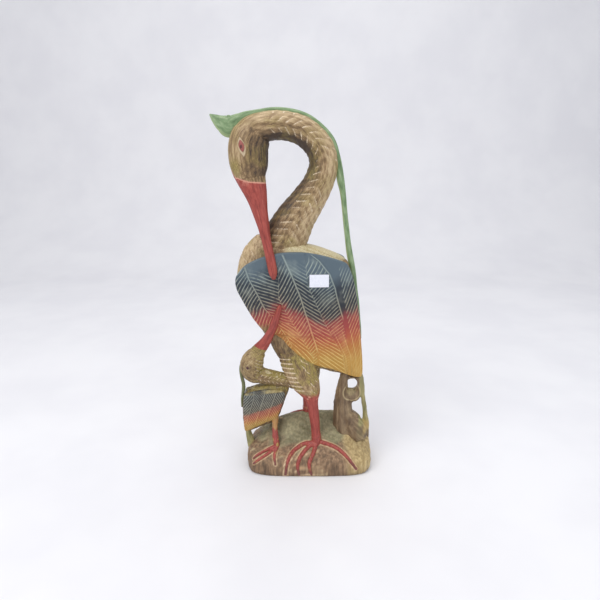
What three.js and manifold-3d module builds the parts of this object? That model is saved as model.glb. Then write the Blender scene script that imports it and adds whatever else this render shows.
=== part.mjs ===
// A carved and painted wooden crane that preens its back, with a chick beside it, on a mound of
// rock with a driftwood stump. Millimetres, +Z up, the near side towards -Y. The origin is the
// middle of the mound's flat underside. Every carved piece is glued to its neighbours with a thin
// glue gap, and the heavier joints have a dowel in blind holes.
import * as THREE from "three";
import { mergeVertices } from "three/addons/utils/BufferGeometryUtils.js";
import Module from "manifold-3d";

const wasm = await Module();
wasm.setup();

// ---- driving dimensions ------------------------------------------------------------------------
const figureHeight = 383; // underside of the mound to the top of the arched neck
const figureLength = 168; // tip of the forehead crest to the far end of the mound
const blockDepth = 79; // near face to far face of the block that it is carved from
const glueGap = 0.35; // clearance between neighbouring pieces

const neckWidth = 28.5;
const neckDepth = 25;
const headWidth = 39;
const headDepth = 31;
const beakWidth = 29;
const beakDepth = 23;
const plumeWidth = 5.6;
const plumeDepth = 5.2;
const thighWidth = 36;
const thighDepth = 19;
const toeWidth = 4.8;
const toeSink = 0.5; // how far a toe's middle line lies under the mound's face
const wingEdge = 2.5; // thickness of a wing at its rim
const wingBulge = 8.5; // how much thicker a wing is at its middle
const stumpWidth = 23;
const stumpDepth = 24;
const knotHole = 13.4; // the round hole through the top of the stump
const chickNeckWidth = 18.5;
const chickNeckDepth = 15;
const chickHeadWidth = 26.5;
const chickHeadDepth = 19;
const chickBeakWidth = 12.5;
const chickShankWidth = 7;
const chickToeWidth = 3.6;
const chickWingEdge = 1.6;
const chickWingBulge = 2.8;
const postWidth = 7.5; // the post under the chick's tail
const dowelWidth = 8;
const smallDowelWidth = 5;
const dowelPlay = 0.3; // room round a dowel in its hole
const labelWidth = 19.5;
const labelHeight = 12.8;
const labelThickness = 0.3;

// Outlines are drawn for a figure of this size, and stretch with the three overall dimensions.
const drawn = { height: 383, length: 168, depth: 79 };
const across = figureLength / drawn.length;
const deep = blockDepth / drawn.depth;
const tall = figureHeight / drawn.height;
const at = (x, y, z) => new THREE.Vector3(x * across, y * deep, z * tall);

const NEAR = -1;
const FAR = 1;
const TOWARDS_FAR = new THREE.Vector3(0, 1, 0);

// ---- solids --------------------------------------------------------------------------------------
const curveThrough = (points, closed) => new THREE.CatmullRomCurve3(points, closed, "catmullrom");

function solidOf(geometry) {
  const bare = new THREE.BufferGeometry().setAttribute("position", geometry.getAttribute("position"));
  bare.setIndex(geometry.getIndex());
  const merged = mergeVertices(bare, 1e-4);
  const vertProperties = new Float32Array(merged.attributes.position.array);
  const triVerts = new Uint32Array(merged.index.array);
  return new wasm.Manifold(new wasm.Mesh({ numProp: 3, vertProperties, triVerts }));
}

const joined = (solids) => solids.reduce((sum, one) => sum.add(one));

// A closed solid over rings of points. Each ring is joined to the next, and a fan from its middle
// closes each end; in a loop the last ring is joined to the first instead.
function skin(rings, loop = false) {
  const sides = rings[0].length;
  const points = rings.flat();
  const faces = [];
  const band = (from, to) => {
    for (let i = 0; i < sides; i++) {
      const j = (i + 1) % sides;
      faces.push(from + i, from + j, to + j, from + i, to + j, to + i);
    }
  };
  const lid = (first, facesOn) => {
    const ring = points.slice(first, first + sides);
    points.push(ring.reduce((sum, p) => sum.add(p), new THREE.Vector3()).divideScalar(sides));
    for (let i = 0; i < sides; i++) {
      const pair = [first + i, first + ((i + 1) % sides)];
      faces.push(points.length - 1, ...(facesOn ? pair : pair.reverse()));
    }
  };
  const last = (rings.length - 1) * sides;
  for (let first = 0; first < last; first += sides) band(first, first + sides);
  if (loop) band(last, 0);
  else {
    lid(0, false);
    lid(last, true);
  }
  let volume = 0;
  for (let i = 0; i < faces.length; i += 3) {
    const [a, b, c] = faces.slice(i, i + 3).map((corner) => points[corner]);
    volume += a.dot(b.clone().cross(c));
  }
  if (volume < 0) faces.reverse();
  return solidOf(new THREE.BufferGeometry().setFromPoints(points).setIndex(faces));
}

// The corners of a superellipse of unit size: exponent 2 is an ellipse, and more is squarer.
function section(sides, exponent) {
  const bend = (value) => Math.sign(value) * Math.abs(value) ** (2 / exponent);
  return Array.from({ length: sides }, (_, i) => {
    const angle = (2 * Math.PI * i) / sides;
    return [bend(Math.cos(angle)), bend(Math.sin(angle))];
  });
}

const domeShare = 0.62; // a rounded end's last ring, as a share of the limb there
const thinnest = 0.2; // half the least width that a limb may taper to

// A limb swept through points. girths holds its [width, depth] at each point, and depth is
// measured towards faceTowards. grow makes it that much bigger on every side.
function sweep(points, girths, options = {}) {
  const { grow = 0, steps = 2 * (points.length - 1), sides = 12, exponent = 2 } = options;
  const { faceTowards = TOWARDS_FAR, startDome = 0, endDome = 0 } = options;
  const line = curveThrough(points);
  const girth = curveThrough(girths.map(([width, depth]) => new THREE.Vector3(width, depth, 0)));
  const corners = section(sides, exponent);
  const ring = (t, beyond = 0, shrink = 1) => {
    const along = line.getTangent(t);
    const out = faceTowards.clone().addScaledVector(along, -faceTowards.dot(along)).normalize();
    const side = new THREE.Vector3().crossVectors(out, along);
    const middle = line.getPoint(t).addScaledVector(along, beyond);
    const size = girth.getPoint(t).multiplyScalar(shrink / 2);
    const wide = Math.max(size.x, thinnest) + grow;
    const high = Math.max(size.y, thinnest) + grow;
    return corners.map(([c, s]) =>
      middle.clone().addScaledVector(side, c * wide).addScaledVector(out, s * high),
    );
  };
  const rings = Array.from({ length: steps - 1 }, (_, i) => ring((i + 1) / steps));
  rings.unshift(ring(0, startDome ? 0 : -grow));
  rings.push(ring(1, endDome ? 0 : grow));
  if (startDome) rings.unshift(ring(0, -startDome - grow, domeShare));
  if (endDome) rings.push(ring(1, endDome + grow, domeShare));
  return skin(rings);
}

// A limb from rows of [x, y, z, width, depth], the last two as shares of its own width and depth.
const limb = (rows, width, depth, options) =>
  sweep(
    rows.map(([x, y, z]) => at(x, y, z)),
    rows.map((row) => [row[3] * width, row[4] * depth]),
    options,
  );

// A trunk built from level slices. Each row is [z, left, right, near, far], with the exponent of
// its slices last; halfDepthAt gives the most that a slice may reach to either side of middle.
function trunk(rows, options = {}) {
  const { grow = 0, steps = rows.length - 1, sides = 20, middle = 0, halfDepthAt = () => Infinity } = options;
  const triples = (pick) => curveThrough(rows.map((row) => new THREE.Vector3(...pick(row))));
  const reaches = triples(([z, left, right]) => [left * across, right * across, z * tall]);
  const depths = triples(([, , , near, far, exponent]) => [near * deep, far * deep, exponent]);
  const upwards = Math.sign(rows[1][0] - rows[0][0]);
  const rings = Array.from({ length: steps + 1 }, (_, k) => {
    const reach = reaches.getPoint(k / steps);
    const sideways = depths.getPoint(k / steps);
    const z = reach.z + grow * upwards * ((k === steps) - (k === 0));
    const limit = halfDepthAt(z) + grow;
    return section(sides, sideways.z).map(([c, s]) => {
      const x = (reach.x + reach.y) / 2 + c * ((reach.y - reach.x) / 2 + grow);
      const y = (sideways.x + sideways.y) / 2 + s * ((sideways.y - sideways.x) / 2 + grow);
      return new THREE.Vector3(x, middle + THREE.MathUtils.clamp(y - middle, -limit, limit), z);
    });
  });
  return skin(rings);
}

// A wing: a plate with a flat seat and a crowned outer face, built from rings of one outline
// drawn ever smaller round its heart. seat gives the seat's distance from the middle plane.
function plate(outline, heart, side, options) {
  const { grow, seat, edge, bulge, sides, middle = 0 } = options;
  const rim = curveThrough(outline.map(([x, z]) => at(x, 0, z)), true).getPoints(sides).slice(0, sides);
  const centre = at(heart[0], 0, heart[1]);
  const ring = (share, rise) =>
    rim.map((p) => {
      const spoke = p.clone().sub(centre);
      const q = centre.clone().addScaledVector(spoke, share + grow / spoke.length());
      return q.setY(middle + side * (seat(q.z) + rise));
    });
  const face = (share) => ring(share, edge + bulge * crown(share) + grow);
  const seatRings = [ring(0.02, -grow), ring(1, -grow)];
  return skin([...seatRings, ring(1, edge * 0.6), ...[0.97, 0.82, 0.55, 0.02].map(face)]);
}
const crown = (share) => 1 - share ** 2.2; // how high the face has risen, from its rim to its middle

// ---- the crane: body, neck, head and beak ------------------------------------------------------
// The body is sawn flat on both sides as seats for the wings, closer together at the tail.
const tailSeat = { height: 105 * tall, half: 7 * deep };
const shoulderSeat = { height: 236 * tall, half: 20.6 * deep };
const seatAt = (z) =>
  THREE.MathUtils.mapLinear(z, tailSeat.height, shoulderSeat.height, tailSeat.half, shoulderSeat.half);

const bodyRows = [
  [260, -55, -46, -4, 4, 2.3], [255, -61, -28, -11, 11, 2.3], [250, -65.5, 0, -15, 15, 2.3],
  [244, -69.5, 20, -18, 18, 2.3], [236, -73, 36, -21, 21, 2.3], [226, -75.5, 42, -23, 23, 2.3],
  [212, -77, 45, -23, 23, 2.3], [198, -75, 47.5, -22.5, 22.5, 2.3], [184, -68.5, 50, -21, 21, 2.3],
  [170, -61, 52, -19, 19, 2.3], [156, -51, 54, -17, 17, 2.3], [142, -42.5, 55.7, -15, 15, 2.3],
  [130, -37, 57, -13, 13, 2.3], [123, -31, 57.8, -11.5, 11.5, 2.3], [117, -8, 58.2, -10, 10, 2.3],
  [111, 18, 58.6, -8.5, 8.5, 2.3], [106.5, 38, 58.8, -7, 7, 2.3], [104, 52, 58.8, -5, 5, 2.3],
];
const body = (grow) => trunk(bodyRows, { grow, steps: 19, halfDepthAt: seatAt });

const neckRows = [
  [-38, 0, 236, 1.72, 1.3], [-30.8, 0, 249, 1.69, 1.3], [-22.8, 0, 262, 1.58, 1.26],
  [-13.7, 0, 278.5, 1.4, 1.2], [-4.5, 0, 291.5, 1.24, 1.12], [6.5, 0, 309, 1.1, 1.05],
  [12.6, 0, 325, 1.02, 1], [12.8, 0, 336, 1, 1], [9.2, 0, 346, 1, 1], [1.7, 0, 354.9, 0.99, 1],
  [-9, -0.5, 362.4, 0.98, 1], [-23, -1.5, 366.4, 0.97, 1], [-36.5, -3, 366.8, 0.98, 1.04],
  [-48.5, -4, 363.4, 1.05, 1.08],
];
const neck = (grow) => limb(neckRows, neckWidth, neckDepth, { grow, steps: 26, sides: 14 });

const headRows = [
  [-43, -3.6, 365.4, 0.66, 0.75], [-50.5, -4.2, 362.4, 0.84, 0.9], [-57.4, -4.8, 356.6, 0.98, 0.98],
  [-60.9, -5.3, 347.5, 1, 1], [-61, -5.6, 338, 1, 1], [-60.5, -5.8, 329.5, 0.96, 0.97],
  [-59.9, -6.4, 322.2, 0.87, 0.88], [-58.6, -7.5, 316, 0.77, 0.77],
];
const head = (grow) => limb(headRows, headWidth, headDepth, { grow, steps: 12, sides: 16 });

const beakRows = [
  [-59.9, -7, 318.2, 1, 1], [-54, -11, 300.7, 0.74, 0.78], [-50.2, -14.5, 286.3, 0.555, 0.61],
  [-46.8, -18, 272.1, 0.42, 0.49], [-44, -21.2, 258.1, 0.335, 0.4], [-40.9, -24.4, 244.2, 0.32, 0.36],
  [-38.6, -26.8, 233.3, 0.32, 0.33], [-37.1, -28, 225.1, 0.29, 0.29], [-36.4, -28.4, 219.8, 0.14, 0.16],
];
const beak = (grow) => limb(beakRows, beakWidth, beakDepth, { grow, steps: 12, endDome: 1 });

// ---- the crane: plume and wings ------------------------------------------------------------------
// The plume is a crest on the forehead, a strip let into the back of the neck as far as the fork,
// and from there a free strand that comes down to the tail.
const crestRows = [
  [-97.6, -3, 376.9, 0.25, 0.35], [-92.5, -3.2, 372.6, 1.75, 0.7], [-86, -3.6, 368.2, 3.1, 0.95],
  [-78.2, -4, 366, 3.8, 1.1], [-69, -4, 371.6, 2.4, 1], [-60, -3.8, 376, 1.6, 1],
];
const strandRows = [
  [29.2, 0, 327, 1.15, 1], [30.4, 0, 316, 1.35, 1], [32.8, 0, 304, 1.08, 1], [34.6, 0, 292, 1, 1],
  [36.6, 0, 275, 1, 1], [38.9, 0, 257, 1.04, 1], [41.5, 0, 240.5, 1.15, 1.1], [44.6, 0, 225, 1.15, 1.2],
  [47.4, 0, 210, 0.95, 1.2], [49.8, 0, 195, 0.8, 1.1], [52.4, 0, 177, 0.65, 0.9], [54.6, 0, 160, 0.5, 0.7],
  [56, 0, 147, 0.3, 0.5],
];
const forkRow = 7; // the plume leaves the neck below this row, and reaches it at the last row but one
function neckBack([x, y, z, widthShare], i) {
  const line = curveThrough(neckRows.map((row) => at(row[0], row[1], row[2])));
  const along = line.getTangent(i / (neckRows.length - 1));
  const outward = new THREE.Vector3().crossVectors(TOWARDS_FAR, along).setY(0).normalize();
  return at(x, y, z).addScaledVector(outward, (widthShare * neckWidth) / 2);
}
function plume(grow) {
  const onNeck = neckRows.map(neckBack).slice(forkRow, -1).reverse();
  const points = [
    ...crestRows.map(([x, y, z]) => at(x, y, z)),
    ...onNeck,
    ...strandRows.map(([x, y, z]) => at(x, y, z)),
  ];
  const shares = [crestRows, onNeck.map(() => [0, 0, 0, 1, 1]), strandRows].flat();
  const girths = shares.map((row) => [row[3] * plumeWidth, row[4] * plumeDepth]);
  return sweep(points, girths, { grow, steps: 40, sides: 7, exponent: 2.3 });
}

const wingOutline = [
  [-46.4, 241], [-57.9, 236.4], [-67.6, 230.2], [-75.6, 219.5], [-75.6, 207], [-68.2, 190.2], [-60.2, 175],
  [-51.8, 162.8], [-45.5, 156], [-37, 155.5], [-29, 150], [-23.4, 142.6], [-14.9, 133.9], [-5.1, 126],
  [4.7, 120], [14.5, 116.6], [26.2, 113.6], [37.1, 109.6], [46, 106], [54, 104.6], [58, 107.5],
  [57.6, 124], [55.5, 144.3], [53.2, 164.6], [51, 182.7], [47.9, 201.6], [43.8, 218.5], [38.6, 231.6],
  [32.6, 236.2], [18.7, 240.6], [4.3, 243.9], [-10, 245.6], [-29.2, 245],
];
const wingHeart = [-6, 186];
const wingSeat = (z) => seatAt(z) + glueGap;
const wing = (side, grow) =>
  plate(wingOutline, wingHeart, side, { grow, seat: wingSeat, edge: wingEdge, bulge: wingBulge, sides: 40 });

// ---- the crane: legs, on the two sides of the body -----------------------------------------------
const legRows = {
  near: [
    [-20, -3.5, 136, 0.9, 0.64], [-15.5, -4.8, 126, 0.98, 0.74], [-11.5, -7.2, 115.5, 1, 0.9],
    [-7, -10.5, 105, 0.95, 1], [-2.2, -13.6, 96.5, 0.8, 0.92], [1.4, -15.8, 88.5, 0.58, 0.78],
    [3, -16.6, 80.5, 0.385, 0.64], [4.4, -16.8, 69, 0.33, 0.57], [6.2, -17, 54, 0.3, 0.55],
    [7.6, -17.6, 39, 0.29, 0.54],
  ],
  far: [
    [-16, 3.5, 136, 0.9, 0.64], [-11, 4.8, 126, 0.98, 0.74], [-7, 7.2, 115.5, 1, 0.9], [-3, 10, 105, 0.9, 1],
    [-0.8, 12, 96.5, 0.72, 0.9], [-0.5, 13, 88.5, 0.52, 0.76], [-0.8, 13.2, 80.5, 0.36, 0.62],
    [-1.2, 13.2, 71, 0.32, 0.56], [-1.6, 13.4, 58, 0.29, 0.54],
  ],
};
const leg = (rows, grow) => limb(rows, thighWidth, thighDepth, { grow, steps: 18 });

// ---- the mound, and the feet that lie on it --------------------------------------------------------
const moundRows = [
  [0, -66, 66, -38, 38, 4.8], [2, -68.8, 69, -39.3, 39.3, 4.8], [8, -69.8, 70, -39.5, 39.5, 4.6],
  [14, -69.6, 70, -38.4, 38.8, 4.3], [19, -68, 69.8, -35, 37, 3.9], [24, -64, 69, -29.4, 35, 3.5],
  [29, -58, 67.8, -22.8, 32.4, 3.1], [34, -51.5, 66, -16.2, 29.2, 2.9], [39, -44.5, 63.5, -9.8, 26, 2.7],
  [44, -37.5, 59, -4, 22.4, 2.5], [48.5, -29, 52, 1.2, 18.6, 2.4], [51.6, -18, 43, 4.6, 15.4, 2.3],
  [53, -6, 32, 7.4, 12.6, 2.2],
];
const mound = () => trunk(moundRows, { sides: 32 });

// Where the mound's near or far face is, for a place given by its x and z.
function moundFace(x, z, side) {
  const upper = Math.max(1, moundRows.findIndex((row) => row[0] >= z));
  const [low, high] = [moundRows[upper - 1], moundRows[upper]];
  const share = (z - low[0]) / (high[0] - low[0]);
  const between = (value, i) => THREE.MathUtils.lerp(low[i], value, share);
  const [, left, right, near, far, exponent] = high.map(between);
  const offset = Math.min(1, Math.abs(2 * x - left - right) / (right - left));
  return (near + far + side * (far - near) * (1 - offset ** exponent) ** (1 / exponent)) / 2;
}

// A foot: an ankle that stands in the mound, and toes that lie half sunk in its face. A toe is a
// line of [x, z] places on that face, and tapers to its claw.
const clawTaper = 0.45;
function foot({ side, ankle, toes }, ankleGirth, width, grow) {
  const faceTowards = new THREE.Vector3(0.1, side * 0.75, 0.65).normalize();
  const made = toes.map((line) => {
    const last = line.length - 1;
    const rows = line.map(([x, z], i) => {
      const share = 1 - clawTaper * (i / last) ** 2;
      return [x, moundFace(x, z, side) - side * toeSink, z, share, share];
    });
    const options = { grow, steps: last + 2, sides: 5, faceTowards, startDome: 1, endDome: 1 };
    return limb(rows, width, width, options);
  });
  return joined([limb(ankle, ...ankleGirth, { grow, steps: 3 }), ...made]);
}

const feet = {
  near: {
    side: NEAR,
    ankle: [[7.5, -17.5, 40.5, 0.3, 0.56], [8, -18, 34, 0.31, 0.57], [8.6, -18.6, 22, 0.3, 0.56]],
    toes: [
      [[6.5, 31], [-6.5, 29.7], [-16.7, 25.3], [-22.3, 19.9], [-25.2, 11.5], [-26.3, 2.5]],
      [[6.5, 30.5], [-1.4, 27.4], [-8.6, 22], [-12.4, 16.1], [-12.6, 8.5], [-11, 2.5]],
      [[8.2, 30.5], [4.7, 24.1], [1, 18.5], [-0.3, 13.6], [0.9, 7.5], [2.3, 2.5]],
      [[9.5, 32], [20.3, 29.7], [29.4, 27.2], [38.4, 22.3], [45.2, 16.1], [51.3, 8.2]],
    ],
  },
  far: {
    side: FAR,
    ankle: [[-1.6, 13.4, 59.5, 0.3, 0.56], [-1.7, 13.6, 52, 0.31, 0.57], [-1.8, 13.8, 42, 0.3, 0.56]],
    toes: [
      [[-2.5, 51.5], [-12, 49.6], [-20, 46.4], [-27, 41]],
      [[-2.5, 50.5], [-8, 44], [-12, 36], [-13.5, 27]],
      [[-1, 50.5], [3, 44], [5.5, 36], [6.5, 27]],
      [[-1, 51.5], [10, 50], [20, 45.5]],
    ],
  },
};
const motherFoot = (which, grow) => foot(which, [thighWidth, thighDepth], toeWidth, grow);

// ---- the stump ---------------------------------------------------------------------------------------
// A trunk under the tail, a root that spreads to the right, a twig beside them, and a knot that is
// a ring round its hole.
const stumpRows = [
  [41, 0, 34, 1.16, 1.1], [39.5, 0, 46, 1.06, 1.02], [38.6, 0, 58, 0.93, 0.94], [38.2, 0, 70, 0.86, 0.86],
  [37.2, 0, 82, 0.66, 0.78], [37.6, 0, 93, 0.46, 0.68], [40, 0, 108, 0.34, 0.56],
];
const rootRows = [
  [41, -1, 56, 0.7, 0.85], [49.5, -3, 49.5, 0.72, 0.85], [57.5, -4, 41.5, 0.75, 0.85],
  [63.5, -4, 31, 0.72, 0.8],
];
const twigRows = [
  [57.2, 0, 105, 0.2, 0.4], [59.2, 0, 89, 0.24, 0.4], [61.2, 0, 75, 0.22, 0.36], [63.3, 0, 62, 0.23, 0.34],
  [64.8, 0, 50, 0.27, 0.36], [65.2, 0, 38, 0.36, 0.42], [64.6, 0, 27, 0.4, 0.46],
];
// The knot's wall and its depth to the right, above, to the left and below.
const knot = { x: 47.2, z: 93.5, walls: [5, 3.4, 8, 15.5], depths: [12, 9, 14, 17], turns: 16, sides: 7 };
function quarterBlend(values, turn) {
  const from = Math.floor(turn * 4) % 4;
  const share = (1 - Math.cos(Math.PI * ((turn * 4) % 1))) / 2;
  return THREE.MathUtils.lerp(values[from], values[(from + 1) % 4], share);
}
function knotRing(grow) {
  const rings = Array.from({ length: knot.turns }, (_, k) => {
    const turn = k / knot.turns;
    const angle = 2 * Math.PI * turn;
    const outward = new THREE.Vector3(Math.cos(angle), 0, Math.sin(angle));
    const wall = quarterBlend(knot.walls, turn) / 2;
    const depth = (quarterBlend(knot.depths, turn) * deep) / 2;
    const middle = at(knot.x, 0, knot.z).addScaledVector(outward, knotHole / 2 + wall);
    return section(knot.sides, 2).map(([c, s]) =>
      middle.clone().addScaledVector(outward, c * (wall + grow)).setY(s * (depth + grow)),
    );
  });
  return skin(rings, true);
}
const stump = (grow) =>
  joined([
    limb(stumpRows, stumpWidth, stumpDepth, { grow, steps: 8 }),
    limb(rootRows, stumpWidth, stumpDepth, { grow, steps: 4, sides: 9, startDome: 2, endDome: 2 }),
    limb(twigRows, stumpWidth, stumpDepth, { grow, steps: 8, sides: 7, endDome: 2 }),
    knotRing(grow),
  ]);

// ---- the chick -----------------------------------------------------------------------------------------
const chickMiddle = -4 * deep; // its own middle plane
const chickSeat = 7.5 * deep; // half its thickness between its wings
const chickBodyRows = [
  [96.5, -38, -27, -8, 0, 2.3], [93.5, -57, -22.5, -11, 3, 2.3], [89.5, -64.5, -22.5, -13, 5, 2.3],
  [84.5, -71, -24, -14, 6, 2.3], [78, -74, -26.3, -14, 6, 2.3], [68, -74.9, -29.5, -14, 6, 2.3],
  [58, -74.8, -33, -13.5, 5.5, 2.3], [50.5, -74.6, -38, -12.5, 4.5, 2.3], [44.5, -74, -52, -11, 3, 2.3],
  [39, -73.2, -64, -8.5, 0.5, 2.3],
];
const chickBody = (grow) =>
  trunk(chickBodyRows, { grow, steps: 12, sides: 18, middle: chickMiddle, halfDepthAt: () => chickSeat });

const chickNeckRows = [
  [-13, -4.5, 95.4, 0.8, 0.9], [-24, -5, 98.8, 0.84, 0.9], [-38, -6.2, 102.4, 0.92, 1],
  [-48, -7, 104.8, 0.97, 1], [-56, -7.6, 107.6, 1.04, 1.03],
];
const chickNeck = (grow) => limb(chickNeckRows, chickNeckWidth, chickNeckDepth, { grow });

const chickHeadRows = [
  [-53, -7.4, 106.4, 0.6, 0.66], [-58.4, -7.8, 108, 0.82, 0.85], [-62.2, -8.5, 112.6, 0.95, 0.97],
  [-62.8, -9.6, 120, 0.96, 1], [-59.9, -11, 128.2, 0.86, 0.92], [-54.8, -12.2, 136, 0.6, 0.68],
];
const chickHead = (grow) => limb(chickHeadRows, chickHeadWidth, chickHeadDepth, { grow, sides: 14 });

const chickBeakRows = [
  [-56.4, -11.9, 135.4, 1.22, 0.98], [-50, -14.4, 144, 1.02, 0.88], [-45.2, -17, 151.5, 0.84, 0.76],
  [-40, -20.6, 162, 0.68, 0.66], [-35.6, -24.4, 174.6, 0.56, 0.56], [-32, -27, 186, 0.44, 0.48],
  [-30.9, -27.6, 191, 0.2, 0.24],
];
const chickBeak = (grow) =>
  limb(chickBeakRows, chickBeakWidth, chickBeakWidth, { grow, steps: 9, sides: 10, endDome: 0.8 });

const chickPlumeRows = [
  [-73.4, -9.2, 123.5, 0.4, 0.6], [-75, -9, 115, 0.62, 0.9], [-74.4, -8.2, 105.5, 0.66, 0.95],
  [-72.8, -7.2, 96.5, 0.66, 0.9], [-73, -6, 88.5, 0.72, 0.9], [-75, -5, 78, 0.5, 0.8],
  [-75.6, -4.4, 67, 0.35, 0.6],
];
const chickPlume = (grow) => limb(chickPlumeRows, plumeWidth, plumeDepth, { grow, sides: 6 });

const chickWingOutline = [
  [-71.8, 84.5], [-66, 87.6], [-57, 90], [-45, 91.6], [-34, 91], [-27.5, 87.5], [-27, 82], [-30.2, 72],
  [-33.6, 63], [-37.2, 56.2], [-48.5, 51.2], [-60, 45.6], [-69.5, 41], [-72.6, 42.5], [-73.2, 54],
  [-73.4, 70],
];
const chickWingHeart = [-52, 68];
const chickWingSeat = () => chickSeat + glueGap;
const chickWingSize = { edge: chickWingEdge, bulge: chickWingBulge, sides: 28, middle: chickMiddle };
const chickWing = (side, grow) =>
  plate(chickWingOutline, chickWingHeart, side, { grow, seat: chickWingSeat, ...chickWingSize });

const chickLegRows = {
  near: [
    [-38.4, -8.5, 57, 1.2, 1.2], [-38.4, -13, 46.5, 0.85, 0.85], [-38.1, -16.6, 39.5, 0.95, 0.95],
    [-37.4, -18.9, 34.5, 1, 1],
  ],
  far: [[-40, 1, 57, 1.2, 1.2], [-41.2, 5, 48, 0.85, 0.85], [-42.2, 9, 43.6, 0.95, 0.95]],
};
const chickLeg = (rows, grow) => limb(rows, chickShankWidth, chickShankWidth, { grow, steps: 6, sides: 8 });

const chickFeet = {
  near: {
    side: NEAR,
    ankle: [[-37.6, -18.3, 35.8, 1, 1], [-36.6, -20.8, 30, 1, 1], [-35.6, -22.4, 20, 0.95, 0.95]],
    toes: [
      [[-36.5, 28], [-48.6, 23.8], [-57.8, 19.4], [-62, 16]],
      [[-36.5, 26.5], [-48.4, 20.7], [-57.5, 15.3], [-61.8, 11.5]],
      [[-36, 26.5], [-38.4, 20.8], [-37.2, 14]],
    ],
  },
  far: {
    side: FAR,
    ankle: [[-42.1, 8.6, 44.8, 1, 1], [-42.8, 11.4, 38, 1, 1], [-43.4, 13.4, 28, 0.95, 0.95]],
    toes: [
      [[-43.6, 37.6], [-50, 33], [-56, 26]],
      [[-43.2, 37.8], [-46, 32], [-48, 24]],
      [[-42, 38.4], [-36, 37], [-29, 33]],
    ],
  },
};
const chickFoot = (which, grow) => foot(which, [chickShankWidth, chickShankWidth], chickToeWidth, grow);

const postRows = [
  [-70.4, -4, 46, 0.7, 0.8], [-69.4, -4, 36, 0.85, 0.9], [-67.6, -4, 28, 1.1, 1.05],
  [-65.4, -4, 18, 1.3, 1.2],
];
const tailPost = (grow) => limb(postRows, postWidth, postWidth, { grow, steps: 5, sides: 8 });

// ---- dowels, and the paper label on the near wing ----------------------------------------------------
function dowel(start, end, width, grow) {
  const from = at(...start);
  const line = at(...end).sub(from);
  const stock = new THREE.CylinderGeometry(width / 2 + grow, width / 2 + grow, line.length() + 2 * grow, 16);
  stock.applyQuaternion(new THREE.Quaternion().setFromUnitVectors(TOWARDS_FAR, line.clone().normalize()));
  stock.translate(...from.addScaledVector(line, 0.5).toArray());
  return solidOf(stock);
}

const labelPlace = [9, 217.3];
const wingRim = curveThrough(wingOutline.map(([x, z]) => at(x, 0, z)), true).getPoints(400);
function nearWingFace(x, z) {
  const centre = at(wingHeart[0], 0, wingHeart[1]);
  const spoke = new THREE.Vector3(x, 0, z).sub(centre);
  const rimPoint = wingRim.reduce((best, p) =>
    p.clone().sub(centre).angleTo(spoke) < best.clone().sub(centre).angleTo(spoke) ? p : best,
  );
  const share = spoke.length() / rimPoint.distanceTo(centre);
  return -(wingSeat(z) + wingEdge + wingBulge * crown(share));
}
function label() {
  const middle = at(labelPlace[0], 0, labelPlace[1]);
  const columns = [-0.5, -0.3, -0.1, 0.1, 0.3, 0.5];
  const rows = [-0.5, -0.25, 0, 0.25, 0.5];
  const rings = columns.map((column) => {
    const x = middle.x + labelWidth * column;
    const sheet = (lift) =>
      rows.map((row) => {
        const z = middle.z + labelHeight * row;
        return new THREE.Vector3(x, nearWingFace(x, z) - lift, z);
      });
    return [...sheet(glueGap), ...sheet(glueGap + labelThickness).reverse()];
  });
  return skin(rings);
}

// ---- the pieces, each as a function of how much bigger it is made to cut its room in others ---------
const pieces = {
  mother_body: body,
  mother_neck: neck,
  mother_head: head,
  mother_beak: beak,
  mother_plume: plume,
  mother_wing_near: (grow) => wing(NEAR, grow),
  mother_wing_far: (grow) => wing(FAR, grow),
  mother_leg_near: (grow) => leg(legRows.near, grow),
  mother_leg_far: (grow) => leg(legRows.far, grow),
  mother_foot_near: (grow) => motherFoot(feet.near, grow),
  mother_foot_far: (grow) => motherFoot(feet.far, grow),
  chick_body: chickBody,
  chick_neck: chickNeck,
  chick_head: chickHead,
  chick_beak: chickBeak,
  chick_plume: chickPlume,
  chick_wing_near: (grow) => chickWing(NEAR, grow),
  chick_wing_far: (grow) => chickWing(FAR, grow),
  chick_leg_near: (grow) => chickLeg(chickLegRows.near, grow),
  chick_leg_far: (grow) => chickLeg(chickLegRows.far, grow),
  chick_foot_near: (grow) => chickFoot(chickFeet.near, grow),
  chick_foot_far: (grow) => chickFoot(chickFeet.far, grow),
  chick_tail_post: tailPost,
  stump,
  mound,
  price_label: label,
  neck_dowel: (grow) => dowel([-30, 0, 240], [-17.5, 0, 266], dowelWidth, grow),
  head_dowel: (grow) => dowel([-39, -3.2, 366.5], [-57, -4.6, 358], smallDowelWidth, grow),
  beak_dowel: (grow) => dowel([-60, -6.8, 325], [-57.4, -9.4, 307.5], smallDowelWidth, grow),
  stump_dowel: (grow) => dowel([40.5, 0, 22], [40, 0, 46], dowelWidth, grow),
  chick_dowel: (grow) => dowel([-33, -7, 101], [-15, -11, 101], smallDowelWidth, grow),
};
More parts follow.
